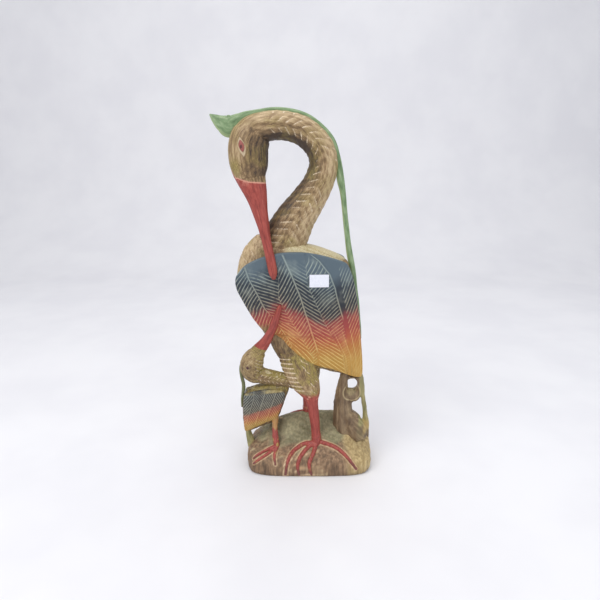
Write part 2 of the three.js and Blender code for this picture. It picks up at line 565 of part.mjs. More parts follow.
// What each piece is fitted round: their room is cut out of it.
const fittedRound = {
  mother_neck: ["mother_body", "mother_wing_near", "mother_wing_far"],
  mother_head: ["mother_neck"],
  mother_beak: ["mother_head", "mother_wing_near", "mother_body", "mother_neck"],
  mother_plume: ["mother_head", "mother_neck", "mother_body", "mother_wing_near", "mother_wing_far"],
  mother_leg_near: ["mother_body", "mother_wing_near"],
  mother_leg_far: ["mother_body", "mother_wing_far", "mother_leg_near"],
  mother_foot_near: ["mother_leg_near"],
  mother_foot_far: ["mother_leg_far"],
  stump: ["mother_body", "mother_wing_near", "mother_wing_far", "mother_plume"],
  chick_body: ["mother_leg_near", "mother_leg_far"],
  chick_neck: ["mother_leg_near", "mother_leg_far", "chick_body"],
  chick_head: ["chick_neck", "chick_body"],
  chick_beak: ["chick_head", "mother_wing_near", "mother_body", "mother_leg_near"],
  chick_wing_near: ["chick_neck", "mother_leg_near"],
  chick_wing_far: ["chick_neck", "mother_leg_far"],
  chick_plume: ["chick_head", "chick_neck", "chick_body", "chick_wing_near", "chick_wing_far"],
  chick_leg_near: ["chick_body", "chick_wing_near"],
  chick_leg_far: ["chick_body", "chick_wing_far"],
  chick_foot_near: ["chick_leg_near"],
  chick_foot_far: ["chick_leg_far"],
  chick_tail_post: ["chick_body", "chick_wing_near", "chick_wing_far", "chick_plume"],
  mound: [
    "mother_foot_near", "mother_foot_far", "chick_foot_near", "chick_foot_far", "stump", "chick_tail_post",
  ],
};
const drilledFor = {
  mother_body: ["neck_dowel"],
  mother_neck: ["neck_dowel", "head_dowel"],
  mother_head: ["head_dowel", "beak_dowel"],
  mother_beak: ["beak_dowel"],
  mother_leg_near: ["chick_dowel"],
  chick_neck: ["chick_dowel"],
  stump: ["stump_dowel"],
  mound: ["stump_dowel"],
};

// ---- paint -----------------------------------------------------------------------------------------------
const paints = [
  { of: /dowel/, color: 0xc9a974, roughness: 0.7 }, // bare wood
  { of: /beak|leg|foot/, color: 0xb04a40, roughness: 0.5 }, // coral red
  { of: /plume/, color: 0x7ba267, roughness: 0.5 }, // palm green
  { of: /wing/, color: 0x3c4d5c, roughness: 0.5 }, // dusky blue
  { of: /mound/, color: 0x84805a, roughness: 0.7 }, // moss over brown
  { of: /label/, color: 0xf2f2f6, roughness: 0.9 }, // paper
  { of: /./, color: 0x7d684a, roughness: 0.6 }, // brown stain
];
function finish(name) {
  const { color, roughness } = paints.find((paint) => paint.of.test(name));
  return new THREE.MeshStandardMaterial({ color, roughness, metalness: 0 });
}

// ---- assembly --------------------------------------------------------------------------------------------
// The largest body of a cut solid, without the splinters that a cut can leave.
const largest = (solid) =>
  solid.decompose().reduce((best, one) => (one.volume() > best.volume() ? one : best));

function fitted(name) {
  let solid = pieces[name](0);
  for (const neighbour of fittedRound[name] ?? []) solid = solid.subtract(pieces[neighbour](glueGap));
  for (const pin of drilledFor[name] ?? []) solid = solid.subtract(pieces[pin](dowelPlay));
  return largest(solid);
}

function meshOf(name) {
  const { vertProperties, triVerts } = fitted(name).getMesh();
  const geometry = new THREE.BufferGeometry();
  geometry.setAttribute("position", new THREE.BufferAttribute(new Float32Array(vertProperties), 3));
  geometry.setIndex(new THREE.BufferAttribute(new Uint32Array(triVerts), 1));
  geometry.computeVertexNormals();
  const mesh = new THREE.Mesh(geometry, finish(name));
  mesh.name = name;
  return mesh;
}

const figure = new THREE.Group();
const [mother, chick, ground] = [new THREE.Group(), new THREE.Group(), new THREE.Group()];
figure.add(mother, chick, ground);
for (const name of Object.keys(pieces)) {
  const group = name.startsWith("mother") ? mother : name.startsWith("chick") ? chick : ground;
  group.add(meshOf(name));
}

export default figure;
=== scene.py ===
import math

import bpy
import numpy as np
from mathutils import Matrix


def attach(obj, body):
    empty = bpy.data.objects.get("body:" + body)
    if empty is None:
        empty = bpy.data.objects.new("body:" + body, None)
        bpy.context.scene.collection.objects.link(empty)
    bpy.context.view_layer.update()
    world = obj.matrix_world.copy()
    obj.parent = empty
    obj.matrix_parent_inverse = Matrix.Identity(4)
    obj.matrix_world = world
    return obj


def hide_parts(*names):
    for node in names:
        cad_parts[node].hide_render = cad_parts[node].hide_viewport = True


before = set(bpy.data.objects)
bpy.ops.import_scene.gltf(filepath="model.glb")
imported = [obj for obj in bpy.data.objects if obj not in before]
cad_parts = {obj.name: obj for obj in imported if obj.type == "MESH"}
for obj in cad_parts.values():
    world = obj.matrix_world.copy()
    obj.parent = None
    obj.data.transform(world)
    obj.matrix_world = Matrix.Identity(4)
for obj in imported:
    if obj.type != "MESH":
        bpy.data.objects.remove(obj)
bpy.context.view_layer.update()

# A carved and painted wooden crane that preens its back, its chick, and the mound and stump they
# stand on. Lengths in the shapes are millimetres, and become metres where a mesh is made.
MM = 0.001
NEAR, FAR = -1, 1
TOWARDS_FAR = np.array([0.0, 1.0, 0.0])


# ---- numbers over a surface ----------------------------------------------------------------------
def ramp(low, high, value):
    """0 below low and 1 above high, along the smooth cubic 3t2 - 2t3 between them."""
    t = np.clip((value - low) / (high - low), 0, 1)
    return t * t * (3 - 2 * t)


def hill(distance, reach):
    """1 where distance is 0, down to 0 at reach to either side, along the same cubic."""
    return ramp(-reach, 0, -np.abs(distance))


def ripple(places, size, seed, waves=26):
    """Smooth unevenness between about -1 and 1: a sum of sine waves of random direction and phase,
    each about size from crest to crest."""
    draw = np.random.default_rng(seed)
    heading = draw.normal(size=(waves, places.shape[-1]))
    heading /= np.linalg.norm(heading, axis=1, keepdims=True)
    pace = 2 * np.pi / (size * draw.uniform(0.65, 1.6, waves))
    phase = draw.uniform(0, 2 * np.pi, waves)
    return np.sin(places @ (heading * pace[:, None]).T + phase).sum(axis=-1) / math.sqrt(waves)


def spline(points, at, closed=False):
    """The smooth line through points: between two of them a cubic whose slope at each point is half
    the step from the point before it to the point after. at counts the points passed. Returns
    places and directions."""
    points = np.asarray(points, float)
    before = points[-1] if closed else 2 * points[0] - points[1]
    after = points[:2] if closed else [2 * points[-1] - points[-2]]
    padded = np.vstack([before, points, after])
    spans = len(points) if closed else len(points) - 1
    first = np.clip(np.floor(at).astype(int), 0, spans - 1)
    w = (at - first)[:, None]
    a, b, c, d = (padded[first + k] for k in range(4))
    slope, next_slope = (c - a) / 2, (d - b) / 2
    square = 3 * (c - b) - 2 * slope - next_slope
    cube = 2 * (b - c) + slope + next_slope
    return b + w * (slope + w * (square + w * cube)), slope + w * (2 * square + 3 * w * cube)


def unit(vectors):
    """Each vector divided by its own length."""
    return vectors / np.maximum(np.linalg.norm(vectors, axis=-1, keepdims=True), 1e-9)


# ---- skins ---------------------------------------------------------------------------------------
class Skin:
    """A closed surface. points are in millimetres; marks are numbers kept at every point, which the
    finishes read. On a limb, along is the distance down its path, turn the angle round it and girth
    its mean half thickness there."""

    def __init__(self, points, quads, triangles, **fields):
        self.points, self.quads, self.triangles = points, quads, triangles
        self.marks = {}
        self.__dict__.update(fields)

    def volume(self):
        """Six times the volume inside: the sum of each face's corners' triple product."""
        halves = [self.quads[:, [0, 1, 2]], self.quads[:, [0, 2, 3]], self.triangles]
        a, b, c = (self.points[np.vstack(halves)[:, k]] for k in range(3))
        return (a * np.cross(b, c)).sum()

    def face_outwards(self):
        """Turns every face over if the volume inside comes out negative."""
        if self.volume() < 0:
            self.quads = self.quads[:, ::-1]
            self.triangles = self.triangles[:, ::-1]
        return self

    def normals(self):
        """Each point's outward direction: the sum of its faces' cross products, made unit length."""
        total = np.zeros_like(self.points)
        for faces in (self.quads, self.triangles):
            if len(faces) == 0:
                continue
            p = self.points[faces]
            face = np.cross(p[:, 1] - p[:, -1], p[:, 2] - p[:, 0])
            for axis in range(3):
                weight = np.repeat(face[:, axis], faces.shape[1])
                total[:, axis] += np.bincount(faces.ravel(), weight, len(self.points))
        return unit(total)

    def carve(self, rise):
        """Moves every point outwards by its own rise, which is negative for a cut."""
        self.points = self.points + self.normals() * rise[:, None]
        return self

    def mark(self, **marks):
        """Keeps numbers at every point, by name."""
        self.marks.update(marks)
        return self


def rings_to_skin(rings, poles, **fields):
    """A skin over rings of points (rings x sides x 3), each joined to the next, with a fan of
    triangles from a pole to each end ring."""
    count, sides = rings.shape[:2]
    index = np.arange(count * sides).reshape(count, sides)
    turned = np.roll(index, -1, axis=1)
    quads = np.stack([index[:-1], turned[:-1], turned[1:], index[1:]], axis=-1).reshape(-1, 4)
    start, end = count * sides, count * sides + 1
    first = np.stack([np.full(sides, start), turned[0], index[0]], axis=-1)
    last = np.stack([np.full(sides, end), index[-1], turned[-1]], axis=-1)
    points = np.vstack([rings.reshape(-1, 3), poles])
    flat = {
        name: np.append(value.ravel(), [value[0].mean(), value[-1].mean()])
        for name, value in fields.items()
    }
    return Skin(points, quads, np.vstack([first, last]), **flat).face_outwards()


def corners(turn, exponent):
    """A unit superellipse: the cosine and sine of the angle, each raised to 2 / exponent."""
    both = np.stack([np.cos(turn), np.sin(turn)])
    return np.sign(both) * np.abs(both) ** (2 / exponent)


def limb(rows, width, depth, rings, sides, exponent=2.0, facing=TOWARDS_FAR, domes=(0.8, 0.8)):
    """A superellipse carried along the line through its rows of [x, y, z, width share, depth
    share], with its depth towards facing, and a half ellipsoid as high as its dome on each end.
    turn is 0 on the side where facing x path points."""
    rows = np.array(rows, float)
    last = len(rows) - 1
    rise = np.linspace(0.12, np.pi / 2, 6)[:-1]  # the angles of a dome's rings, down from its tip
    at = np.concatenate([0 * rise, np.linspace(0, last, rings), 0 * rise + last])
    beyond = np.concatenate([-domes[0] * np.cos(rise), np.zeros(rings), domes[1] * np.cos(rise[::-1])])
    shrink = np.concatenate([np.sin(rise), np.ones(rings), np.sin(rise[::-1])])
    middle, heading = spline(rows[:, :3], at)
    heading = unit(heading)
    out = unit(facing - (heading @ facing)[:, None] * heading)
    side = np.cross(out, heading)
    size = np.maximum(spline(rows[:, 3:5] * [width, depth], at)[0] / 2, 0.2) * shrink[:, None]
    turn = np.arange(sides) * 2 * np.pi / sides
    c, s = corners(turn, exponent)
    centres = middle + heading * beyond[:, None]
    points = (
        centres[:, None]
        + side[:, None] * (size[:, :1] * c)[..., None]
        + out[:, None] * (size[:, 1:] * s)[..., None]
    )
    steps = np.linalg.norm(np.diff(middle, axis=0), axis=1)
    along = (np.append(0, np.cumsum(steps)) + beyond)[:, None] + 0 * turn
    ends = [middle[0] - heading[0] * domes[0], middle[-1] + heading[-1] * domes[1]]
    girth = np.broadcast_to(size.mean(axis=1)[:, None], along.shape)
    return rings_to_skin(points, ends, along=along, turn=turn + 0 * along, girth=girth)


def trunk(rows, rings, sides, middle=0.0, half_depth=None):
    """Level slices: each is a superellipse between left and right, near and far, and all five with
    its exponent follow smooth lines through the rows of [z, left, right, near, far, exponent].
    half_depth(z) is the most that a slice may reach to either side of middle."""
    at = np.linspace(0, len(rows) - 1, rings)
    z, left, right, near, far, exponent = spline(rows, at)[0].T[:, :, None]
    turn = np.arange(sides) * 2 * np.pi / sides
    both = np.stack([np.cos(turn) + 0 * z, np.sin(turn) + 0 * z])
    c, s = np.sign(both) * np.abs(both) ** (2 / exponent)
    x = (left + right) / 2 + c * (right - left) / 2
    y = (near + far) / 2 + s * (far - near) / 2
    if half_depth is not None:
        y = middle + np.clip(y - middle, -half_depth(z), half_depth(z))
    points = np.stack([x, y, z + 0 * x], axis=-1)
    return rings_to_skin(points, points[[0, -1]].mean(axis=1), turn=turn + 0 * x, along=z + 0 * x)


def grain_of(skin, stretch=6.0):
    """Marks a limb with grain: its points unrolled on a straight rod, drawn out along its path."""
    rod = [skin.girth * np.cos(skin.turn), skin.girth * np.sin(skin.turn), skin.along / stretch]
    return skin.mark(grain=np.stack(rod, axis=-1))


def nearest(points, line):
    """Each point's distance to a line of places, and how far down the line that is, 0 to 1."""
    gaps = np.linalg.norm(points[:, None] - line[None], axis=2)
    closest = gaps.argmin(axis=1)
    return gaps[np.arange(len(points)), closest], closest / (len(line) - 1)


def mesh_object(name, skins):
    """One mesh object from skins, in metres, smooth, with their marks as attributes."""
    starts = np.cumsum([0] + [len(skin.points) for skin in skins])
    quads = np.vstack([skin.quads + start for skin, start in zip(skins, starts)])
    triangles = np.vstack([skin.triangles + start for skin, start in zip(skins, starts)])
    corners_of_faces = np.concatenate([quads.ravel(), triangles.ravel()])
    face_starts = np.concatenate(
        [4 * np.arange(len(quads)), 4 * len(quads) + 3 * np.arange(len(triangles))]
    )
    mesh = bpy.data.meshes.new(name)
    mesh.vertices.add(starts[-1])
    mesh.vertices.foreach_set("co", np.vstack([s.points for s in skins]).ravel() * MM)
    mesh.loops.add(len(corners_of_faces))
    mesh.loops.foreach_set("vertex_index", corners_of_faces.astype(np.int32))
    mesh.polygons.add(len(face_starts))
    mesh.polygons.foreach_set("loop_start", face_starts.astype(np.int32))
    mesh.update(calc_edges=True)
    mesh.validate()
    mesh.shade_smooth()
    for mark in sorted(set().union(*(skin.marks for skin in skins))):
        values = np.concatenate([skin.marks[mark] for skin in skins]).astype(np.float32)
        kind, field = ("FLOAT", "value") if values.ndim == 1 else ("FLOAT_VECTOR", "vector")
        mesh.attributes.new(mark, kind, "POINT").data.foreach_set(field, values.ravel())
    made = bpy.data.objects.new(name, mesh)
    bpy.context.scene.collection.objects.link(made)
    return made


def fused(skins, voxel, rounds):
    """One skin over skins that run into each other: they are filled with cubes of side voxel and
    skinned again, and then each point goes half way to the mean of its neighbours, rounds times."""
    rough = mesh_object("rough", [Skin(s.points, s.quads, s.triangles) for s in skins])
    remesh = rough.modifiers.new("skin", "REMESH")
    remesh.mode, remesh.voxel_size = "VOXEL", voxel * MM
    mesh = rough.evaluated_get(bpy.context.evaluated_depsgraph_get()).to_mesh()
    points = np.empty(len(mesh.vertices) * 3)
    mesh.vertices.foreach_get("co", points)
    points = points.reshape(-1, 3) / MM
    quads = np.empty(len(mesh.loops), np.int32)
    mesh.loops.foreach_get("vertex_index", quads)
    quads = quads.reshape(-1, 4)
    edges = np.empty(len(mesh.edges) * 2, np.int32)
    mesh.edges.foreach_get("vertices", edges)
    a, b = edges.reshape(-1, 2).T
    bpy.data.objects.remove(rough)
    count = len(points)
    friends = np.bincount(a, minlength=count) + np.bincount(b, minlength=count)
    for _ in range(rounds):
        total = [np.bincount(a, part[b], count) + np.bincount(b, part[a], count) for part in points.T]
        points = (points + np.stack(total, axis=1) / friends[:, None]) / 2
    return Skin(points, quads, np.empty((0, 3), int)).face_outwards()


def nearest_of(old, points, reach, batches=400):
    """The number of the old point nearest to each point, which is within reach of it. A batch of
    points at about one height looks among the old points of that height, by squared distance."""
    found = np.empty(len(points), int)
    for batch in np.array_split(points[:, 2].argsort(), batches):
        heights = points[batch, 2]
        level = (old[:, 2] > heights.min() - reach) & (old[:, 2] < heights.max() + reach)
        near = np.flatnonzero(level)
        gaps = sum((points[batch, k, None] - old[near, k]) ** 2 for k in range(3))
        found[batch] = near[gaps.argmin(axis=1)]
    return found


def unfolded(folded, voxel, rounds):
    """A limb skinned again, so that it has no fold inside a tight bend. Each point takes the path
    fields of the old point nearest to it."""
    made = fused([folded], voxel, rounds)
    own = nearest_of(folded.points, made.points, reach=8)
    made.along, made.turn, made.girth = folded.along[own], folded.turn[own], folded.girth[own]
    return made


def piece(name, skins, finish, slot, *nodes):
    """A finished piece: its mesh, its finish, and the nodes it stands for. slot, the record's slot, is not
    used.
    """
    made = mesh_object(name, skins)
    made.data.materials.append(finish)
    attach(made, "root")
    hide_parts(*nodes)
    return made


# ---- finishes ------------------------------------------------------------------------------------
def tint(red, green, blue):
    """A colour on the screen's scale of 0 to 255 as linear light."""
    share = np.array([red, green, blue]) / 255
    light = np.where(share <= 0.04045, share / 12.92, ((share + 0.055) / 1.055) ** 2.4)
    return (*light.tolist(), 1.0)


class Wire:
    """A value on its way through a finish. Arithmetic on it adds the Math nodes that do it."""

    def __init__(self, finish, socket):
        self.finish, self.socket = finish, socket

    def math(self, operation, *values):
        """The result of one Math node."""
        return self.finish.node("ShaderNodeMath", {"operation": operation}, dict(enumerate(values)))

    def __add__(self, other):
        return self.math("ADD", self, other)

    def __sub__(self, other):
        return self.math("SUBTRACT", self, other)

    def __rsub__(self, other):
        return self.math("SUBTRACT", other, self)

    def __mul__(self, other):
        return self.math("MULTIPLY", self, other)

    __radd__, __rmul__ = __add__, __mul__

    def between(self, low, high):
        """0 at low and 1 at high, smooth between them."""
        settings = {"interpolation_type": "SMOOTHSTEP"}
        return self.finish.node("ShaderNodeMapRange", settings, {0: self, 1: low, 2: high})


class Finish:
    """A material built from nodes around one Principled shader."""

    def __init__(self, name, **fixed):
        self.material = bpy.data.materials.new(name)
        self.material.use_nodes = True
        self.tree = self.material.node_tree
        self.shader = self.tree.nodes["Principled BSDF"]
        for socket, value in fixed.items():
            self.shader.inputs[socket.replace("_", " ")].default_value = value
        self.place = self.node("ShaderNodeTexCoord", {}, {}, "Object")

    def node(self, kind, settings, inputs, output=0):
        """Adds a node, sets it up, then fills its sockets with values or links."""
        made = self.tree.nodes.new(kind)
        stops = settings.pop("stops", [])
        for key, value in settings.items():
            setattr(made, key, value)
        if stops:
            ramp_stops = made.color_ramp.elements
            while len(ramp_stops) < len(stops):
                ramp_stops.new(1.0)
            for i, (position, colour) in enumerate(stops):
                ramp_stops[i].position = position
                ramp_stops[i].color = colour
        for socket, value in inputs.items():
            if isinstance(value, Wire):
                self.tree.links.new(value.socket, made.inputs[socket])
            else:
                made.inputs[socket].default_value = value
        return Wire(self, made.outputs[output])

    def mark(self, name, output="Fac"):
        """A mark that the piece's skin was given, 0 where it has none."""
        return self.node("ShaderNodeAttribute", {"attribute_name": name}, {}, output)

    def stretched(self, vector, x, y, z):
        """A vector with each of its parts scaled, which draws a pattern out along the smallest."""
        return self.node("ShaderNodeVectorMath", {"operation": "MULTIPLY"}, {0: vector, 1: (x, y, z)})

    def noise(self, vector, scale, detail=4.0, roughness=0.55):
        """Cloudy noise about 0.5, with scale crests to a unit of the vector."""
        inputs = {"Vector": vector, "Scale": scale, "Detail": detail, "Roughness": roughness}
        return self.node("ShaderNodeTexNoise", {}, inputs)

    def mix(self, share, under, over):
        """The colour under at a share of 0, over at 1."""
        return self.node("ShaderNodeMix", {"data_type": "RGBA"}, {0: share, 6: under, 7: over}, 2)

    def stops(self, value, *stops):
        """A ramp of colours, from (value, colour) stops."""
        return self.node("ShaderNodeValToRGB", {"stops": stops}, {0: value})

    def close(self, colour, roughness, height, distance):
        """Joins what varies to the shader: its colour, roughness, and a height in metres."""
        inputs = {"Height": height, "Distance": distance, "Strength": 0.6}
        normal = self.node("ShaderNodeBump", {}, inputs)
        for socket, wire in {"Base Color": colour, "Roughness": roughness, "Normal": normal}.items():
            self.tree.links.new(wire.socket, self.shader.inputs[socket])
        return self.material


def wood_colour(finish, grain):
    """Brown stain rubbed into wood: dark and pale streaks down the grain, with olive in patches. Its mark of
    painted light and shade makes it paler where light is painted and darker where shade is painted, and the
    mark olive makes it greener."""
    streak = finish.noise(grain, 0.42, 6.0, 0.62)
    fine = finish.noise(grain, 1.7, 3.0)
    patch = finish.noise(finish.place, 38.0, 2.0)
    brown = finish.stops(
        streak * 0.78 + fine * 0.3 + finish.mark("painted_light") * 0.16 - 0.03,
        (0.28, tint(66, 50, 35)),
        (0.44, tint(118, 93, 62)),
        (0.56, tint(156, 129, 92)),
        (0.72, tint(202, 177, 138)),
    )
    olive = finish.mix(fine.between(0.3, 0.75), tint(112, 98, 46), tint(180, 160, 90))
    share = patch.between(0.52, 0.72) * 0.55 + finish.mark("olive") * streak.between(0.36, 0.56)
    return finish.mix(share, brown, olive)


def coral_colour(finish, grain):
    """Coral red paint in streaks down the grain, paler where it is rubbed thin and darker elsewhere."""
    wear = finish.noise(grain, 0.5, 5.0, 0.6)
    return finish.stops(
        wear * 0.8 + finish.noise(grain, 2.2, 2.0) * 0.2,
        (0.3, tint(116, 42, 36)),
        (0.5, tint(158, 66, 56)),
        (0.62, tint(172, 80, 68)),
        (0.78, tint(196, 120, 100)),
    )


def green_colour(finish, grain):
    """Leaf green paint with pale streaks."""
    wear = finish.noise(grain, 0.45, 5.0, 0.6)
    return finish.stops(
        wear,
        (0.3, tint(86, 112, 72)),
        (0.5, tint(124, 150, 106)),
        (0.66, tint(152, 172, 132)),
        (0.8, tint(190, 198, 162)),
    )


def carved_wood():
    """Stained wood with the paints that run onto it, and pale bare wood in its cuts."""
    finish = Finish("stained_wood", Coat_Weight=0.12, Coat_Roughness=0.4)
    grain = finish.mark("grain", "Vector")
    colour = wood_colour(finish, grain)
    broken = finish.noise(grain, 1.1, 4.0)
    cream = finish.mix(broken.between(0.35, 0.7), tint(184, 168, 122), tint(212, 202, 168))
    cut = finish.mix(broken.between(0.35, 0.65), tint(196, 170, 134), tint(228, 210, 182))
    ragged = broken * 0.7 - 0.35
    layers = [
        (finish.mark("cream"), cream),
        (finish.mark("coral"), coral_colour(finish, grain)),
        (finish.mark("orange"), tint(186, 100, 54)),
        (finish.mark("pink"), tint(212, 152, 130)),
        (finish.mark("cut"), cut),
        # The seam layer paints the groove along a beak's side dark: painted shade.
        (finish.mark("seam"), tint(104, 38, 34)),
        (finish.mark("eye_rim"), tint(198, 178, 146)),
        (finish.mark("eye"), tint(154, 84, 76)),
        (finish.mark("pupil"), tint(74, 38, 38)),
    ]
    for share, paint in layers:
        colour = finish.mix((share + ragged * share * (1 - share) * 4).between(0.2, 0.8), colour, paint)
    roughness = 0.42 + 0.26 * broken
    return finish.close(colour, roughness, broken + finish.noise(grain, 0.5), 0.0004)


def coral_paint():
    """The feet: coral, rubbed to ochre in places, with dark claws."""
    finish = Finish("coral_paint", Coat_Weight=0.25, Coat_Roughness=0.3)
    grain = finish.mark("grain", "Vector")
    broken = finish.noise(grain, 0.9, 4.0)
    colour = coral_colour(finish, grain)
    layers = [
        (finish.mark("ochre"), tint(180, 146, 80)),
        (finish.mark("claw"), tint(110, 58, 54)),
        (finish.mark("pale"), tint(206, 178, 140)),
    ]
    for share, paint in layers:
        colour = finish.mix((share + broken * 0.5 - 0.25).between(0.15, 0.85) * share, colour, paint)
    return finish.close(colour, 0.3 + 0.25 * broken, broken, 0.0003)


def green_paint():
    """The plumes: leaf green, with a painted highlight: pale along the edge."""
    finish = Finish("green_paint", Coat_Weight=0.15, Coat_Roughness=0.35)
    grain = finish.mark("grain", "Vector")
    edge = finish.mix(finish.noise(grain, 0.8).between(0.3, 0.7), tint(150, 168, 112), tint(192, 202, 152))
    colour = finish.mix(finish.mark("edge") * 0.7, green_colour(finish, grain), edge)
    colour = finish.mix(finish.mark("dull") * 0.9, colour, tint(104, 100, 62))
    rough = finish.noise(grain, 1.2)
    return finish.close(colour, 0.4 + 0.25 * rough, rough, 0.0003)


def feather_paint():
    """The wings: blue, red and ochre shaded into one another, with pale scraped barbs and quills."""
    finish = Finish("feather_paint", Coat_Weight=0.15, Coat_Roughness=0.35)
    fleck = finish.noise(finish.place, 210.0, 4.0)
    cloud = finish.noise(finish.place, 60.0, 3.0)
    height = finish.mark("height") + (fleck - 0.5) * 0.05 + (cloud - 0.5) * 0.05
    field = finish.stops(
        height,
        (0.10, tint(188, 142, 62)),
        (0.26, tint(180, 112, 46)),
        (0.36, tint(174, 82, 50)),
        (0.44, tint(160, 60, 52)),
        (0.55, tint(142, 52, 52)),
        (0.61, tint(58, 42, 46)),
        (0.66, tint(26, 32, 42)),
        (0.84, tint(32, 44, 56)),
        (0.96, tint(84, 100, 110)),
    )
    line = finish.stops(
        height,
        (0.15, tint(230, 204, 128)),
        (0.34, tint(228, 188, 118)),
        (0.5, tint(220, 160, 118)),
        (0.62, tint(182, 172, 146)),
        (0.9, tint(164, 176, 168)),
    )
    field = finish.mix(cloud.between(0.5, 0.8) * 0.35, field, line)
    colour = finish.mix(finish.mark("cut") * fleck.between(0.2, 0.55), field, line)
    colour = finish.mix(finish.mark("quill") * 0.75, colour, line)
    bare = finish.mix(fleck.between(0.35, 0.65), tint(104, 84, 52), tint(156, 134, 88))
    colour = finish.mix((finish.mark("bare") + (cloud - 0.5) * 0.6).between(0.25, 0.85), colour, bare)
    rim = finish.mix(fleck.between(0.35, 0.65), tint(150, 134, 84), tint(206, 190, 138))
    colour = finish.mix(finish.mark("rim") * cloud.between(0.3, 0.55), colour, rim)
    colour = finish.mix(finish.mark("dull") * 0.22, colour, tint(108, 90, 56))
    return finish.close(colour, 0.4 + 0.25 * cloud, fleck, 0.00025)


def mound_finish():
    """The mound: grey-green over the top, mauve brown down the front, yellow at the right."""
    finish = Finish("mound_stain", Coat_Weight=0.05, Coat_Roughness=0.5)
    upright = finish.stretched(finish.place, 1.0, 1.0, 0.13)
    streak = finish.noise(upright, 360.0, 5.0, 0.6)
    cloud = finish.noise(finish.place, 34.0, 4.0)
    top = finish.stops(
        streak * 0.6 + cloud * 0.4,
        (0.3, tint(104, 100, 66)),
        (0.46, tint(140, 133, 100)),
        (0.58, tint(166, 157, 122)),
        (0.72, tint(196, 186, 148)),
    )
    front = finish.stops(
        streak * 0.75 + cloud * 0.25,
        (0.32, tint(82, 64, 46)),
        (0.46, tint(124, 98, 74)),
        (0.56, tint(150, 120, 90)),
        (0.7, tint(184, 154, 124)),
    )
    yellow = finish.mix(streak.between(0.35, 0.7), tint(160, 136, 90), tint(206, 182, 132))
    colour = finish.mix((finish.mark("front") + (cloud - 0.5) * 0.5).between(0.15, 0.85), top, front)
    colour = finish.mix((finish.mark("sunny") + (cloud - 0.5) * 0.6).between(0.3, 0.8), colour, yellow)
    # The dark mark: a painted shadow under the chick, and darker at the foot and in the gouges' hollows.
    colour = finish.mix(finish.mark("dark") * 0.6, colour, tint(72, 58, 42))
    colour = finish.mix(finish.mark("scrape") * streak.between(0.3, 0.6), colour, tint(206, 186, 146))
    pale = finish.mix(streak.between(0.3, 0.7), tint(206, 166, 124), tint(230, 204, 168))
    colour = finish.mix(finish.mark("pale"), colour, pale)
    return finish.close(colour, 0.5 + 0.25 * streak, streak, 0.0005)


def stump_finish():
    """The stump and the chick's post: brown stain, streaked down the grain, cream on cut faces."""
    finish = Finish("stump_stain", Coat_Weight=0.1, Coat_Roughness=0.45)
    streak = finish.noise(finish.mark("grain", "Vector"), 0.26, 6.0, 0.62)
    cloud = finish.noise(finish.place, 42.0, 3.0)
    brown = finish.stops(
        streak * 0.7 + cloud * 0.3,
        (0.3, tint(70, 54, 38)),
        (0.45, tint(112, 90, 66)),
        (0.57, tint(142, 120, 90)),
        (0.72, tint(182, 158, 124)),
    )
    olive = finish.mix(streak.between(0.3, 0.7), tint(120, 116, 72), tint(172, 160, 110))
    cream = finish.mix(streak.between(0.3, 0.7), tint(176, 156, 116), tint(214, 196, 152))
    yellow = finish.mix(streak.between(0.3, 0.7), tint(172, 138, 72), tint(206, 180, 114))
    colour = finish.mix((finish.mark("olive") + (cloud - 0.5) * 0.6).between(0.3, 0.8), brown, olive)
    colour = finish.mix(finish.mark("yellow"), colour, yellow)
    colour = finish.mix(finish.mark("cream"), colour, cream)
    return finish.close(colour, 0.45 + 0.25 * streak, streak, 0.0006)


def paper_finish():
    """White paper label, faintly uneven."""
    finish = Finish("label_paper")
    fibre = finish.noise(finish.place, 900.0, 3.0)
    white = finish.mix(fibre.between(0.2, 0.8), tint(226, 229, 240), tint(240, 242, 250))
    return finish.close(white, 0.75 + 0.15 * fibre, fibre, 0.00005)


WOOD, CORAL, GREEN = carved_wood(), coral_paint(), green_paint()
FEATHER, MOUND, STUMP, PAPER = feather_paint(), mound_finish(), stump_finish(), paper_finish()


# ---- the crane's body ----------------------------------------------------------------------------
GLUE = 0.35
BODY_EXPONENT = 2.3  # of both bodies' level slices: a little squarer than an ellipse
TAIL_SEAT = (105.0, 7.0)  # height, and half the body's thickness there
SHOULDER_SEAT = (236.0, 20.6)


def seat(z):
    """Half the body's thickness, which grows evenly with height."""
    share = (z - TAIL_SEAT[0]) / (SHOULDER_SEAT[0] - TAIL_SEAT[0])
    return TAIL_SEAT[1] + share * (SHOULDER_SEAT[1] - TAIL_SEAT[1])


BODY_ROWS = [
    [260, -55, -46, 4], [255, -61, -28, 11], [250, -65.5, 0, 15], [244, -69.5, 20, 18], [236, -73, 36, 21],
    [226, -75.5, 42, 23], [212, -77, 45, 23], [198, -75, 47.5, 22.5], [184, -68.5, 50, 21],
    [170, -61, 52, 19], [156, -51, 54, 17], [142, -42.5, 55.7, 15], [130, -37, 57, 13],
    [123, -31, 57.8, 11.5], [117, -8, 58.2, 10], [111, 18, 58.6, 8.5], [106.5, 38, 58.8, 7],
    [104, 52, 58.8, 5],
]


def even_slices(rows, middle):
    """Rows for trunk from rows of [z, left, right, half depth], as deep to either side of middle."""
    return [[z, left, right, middle - half, middle + half, BODY_EXPONENT] for z, left, right, half in rows]


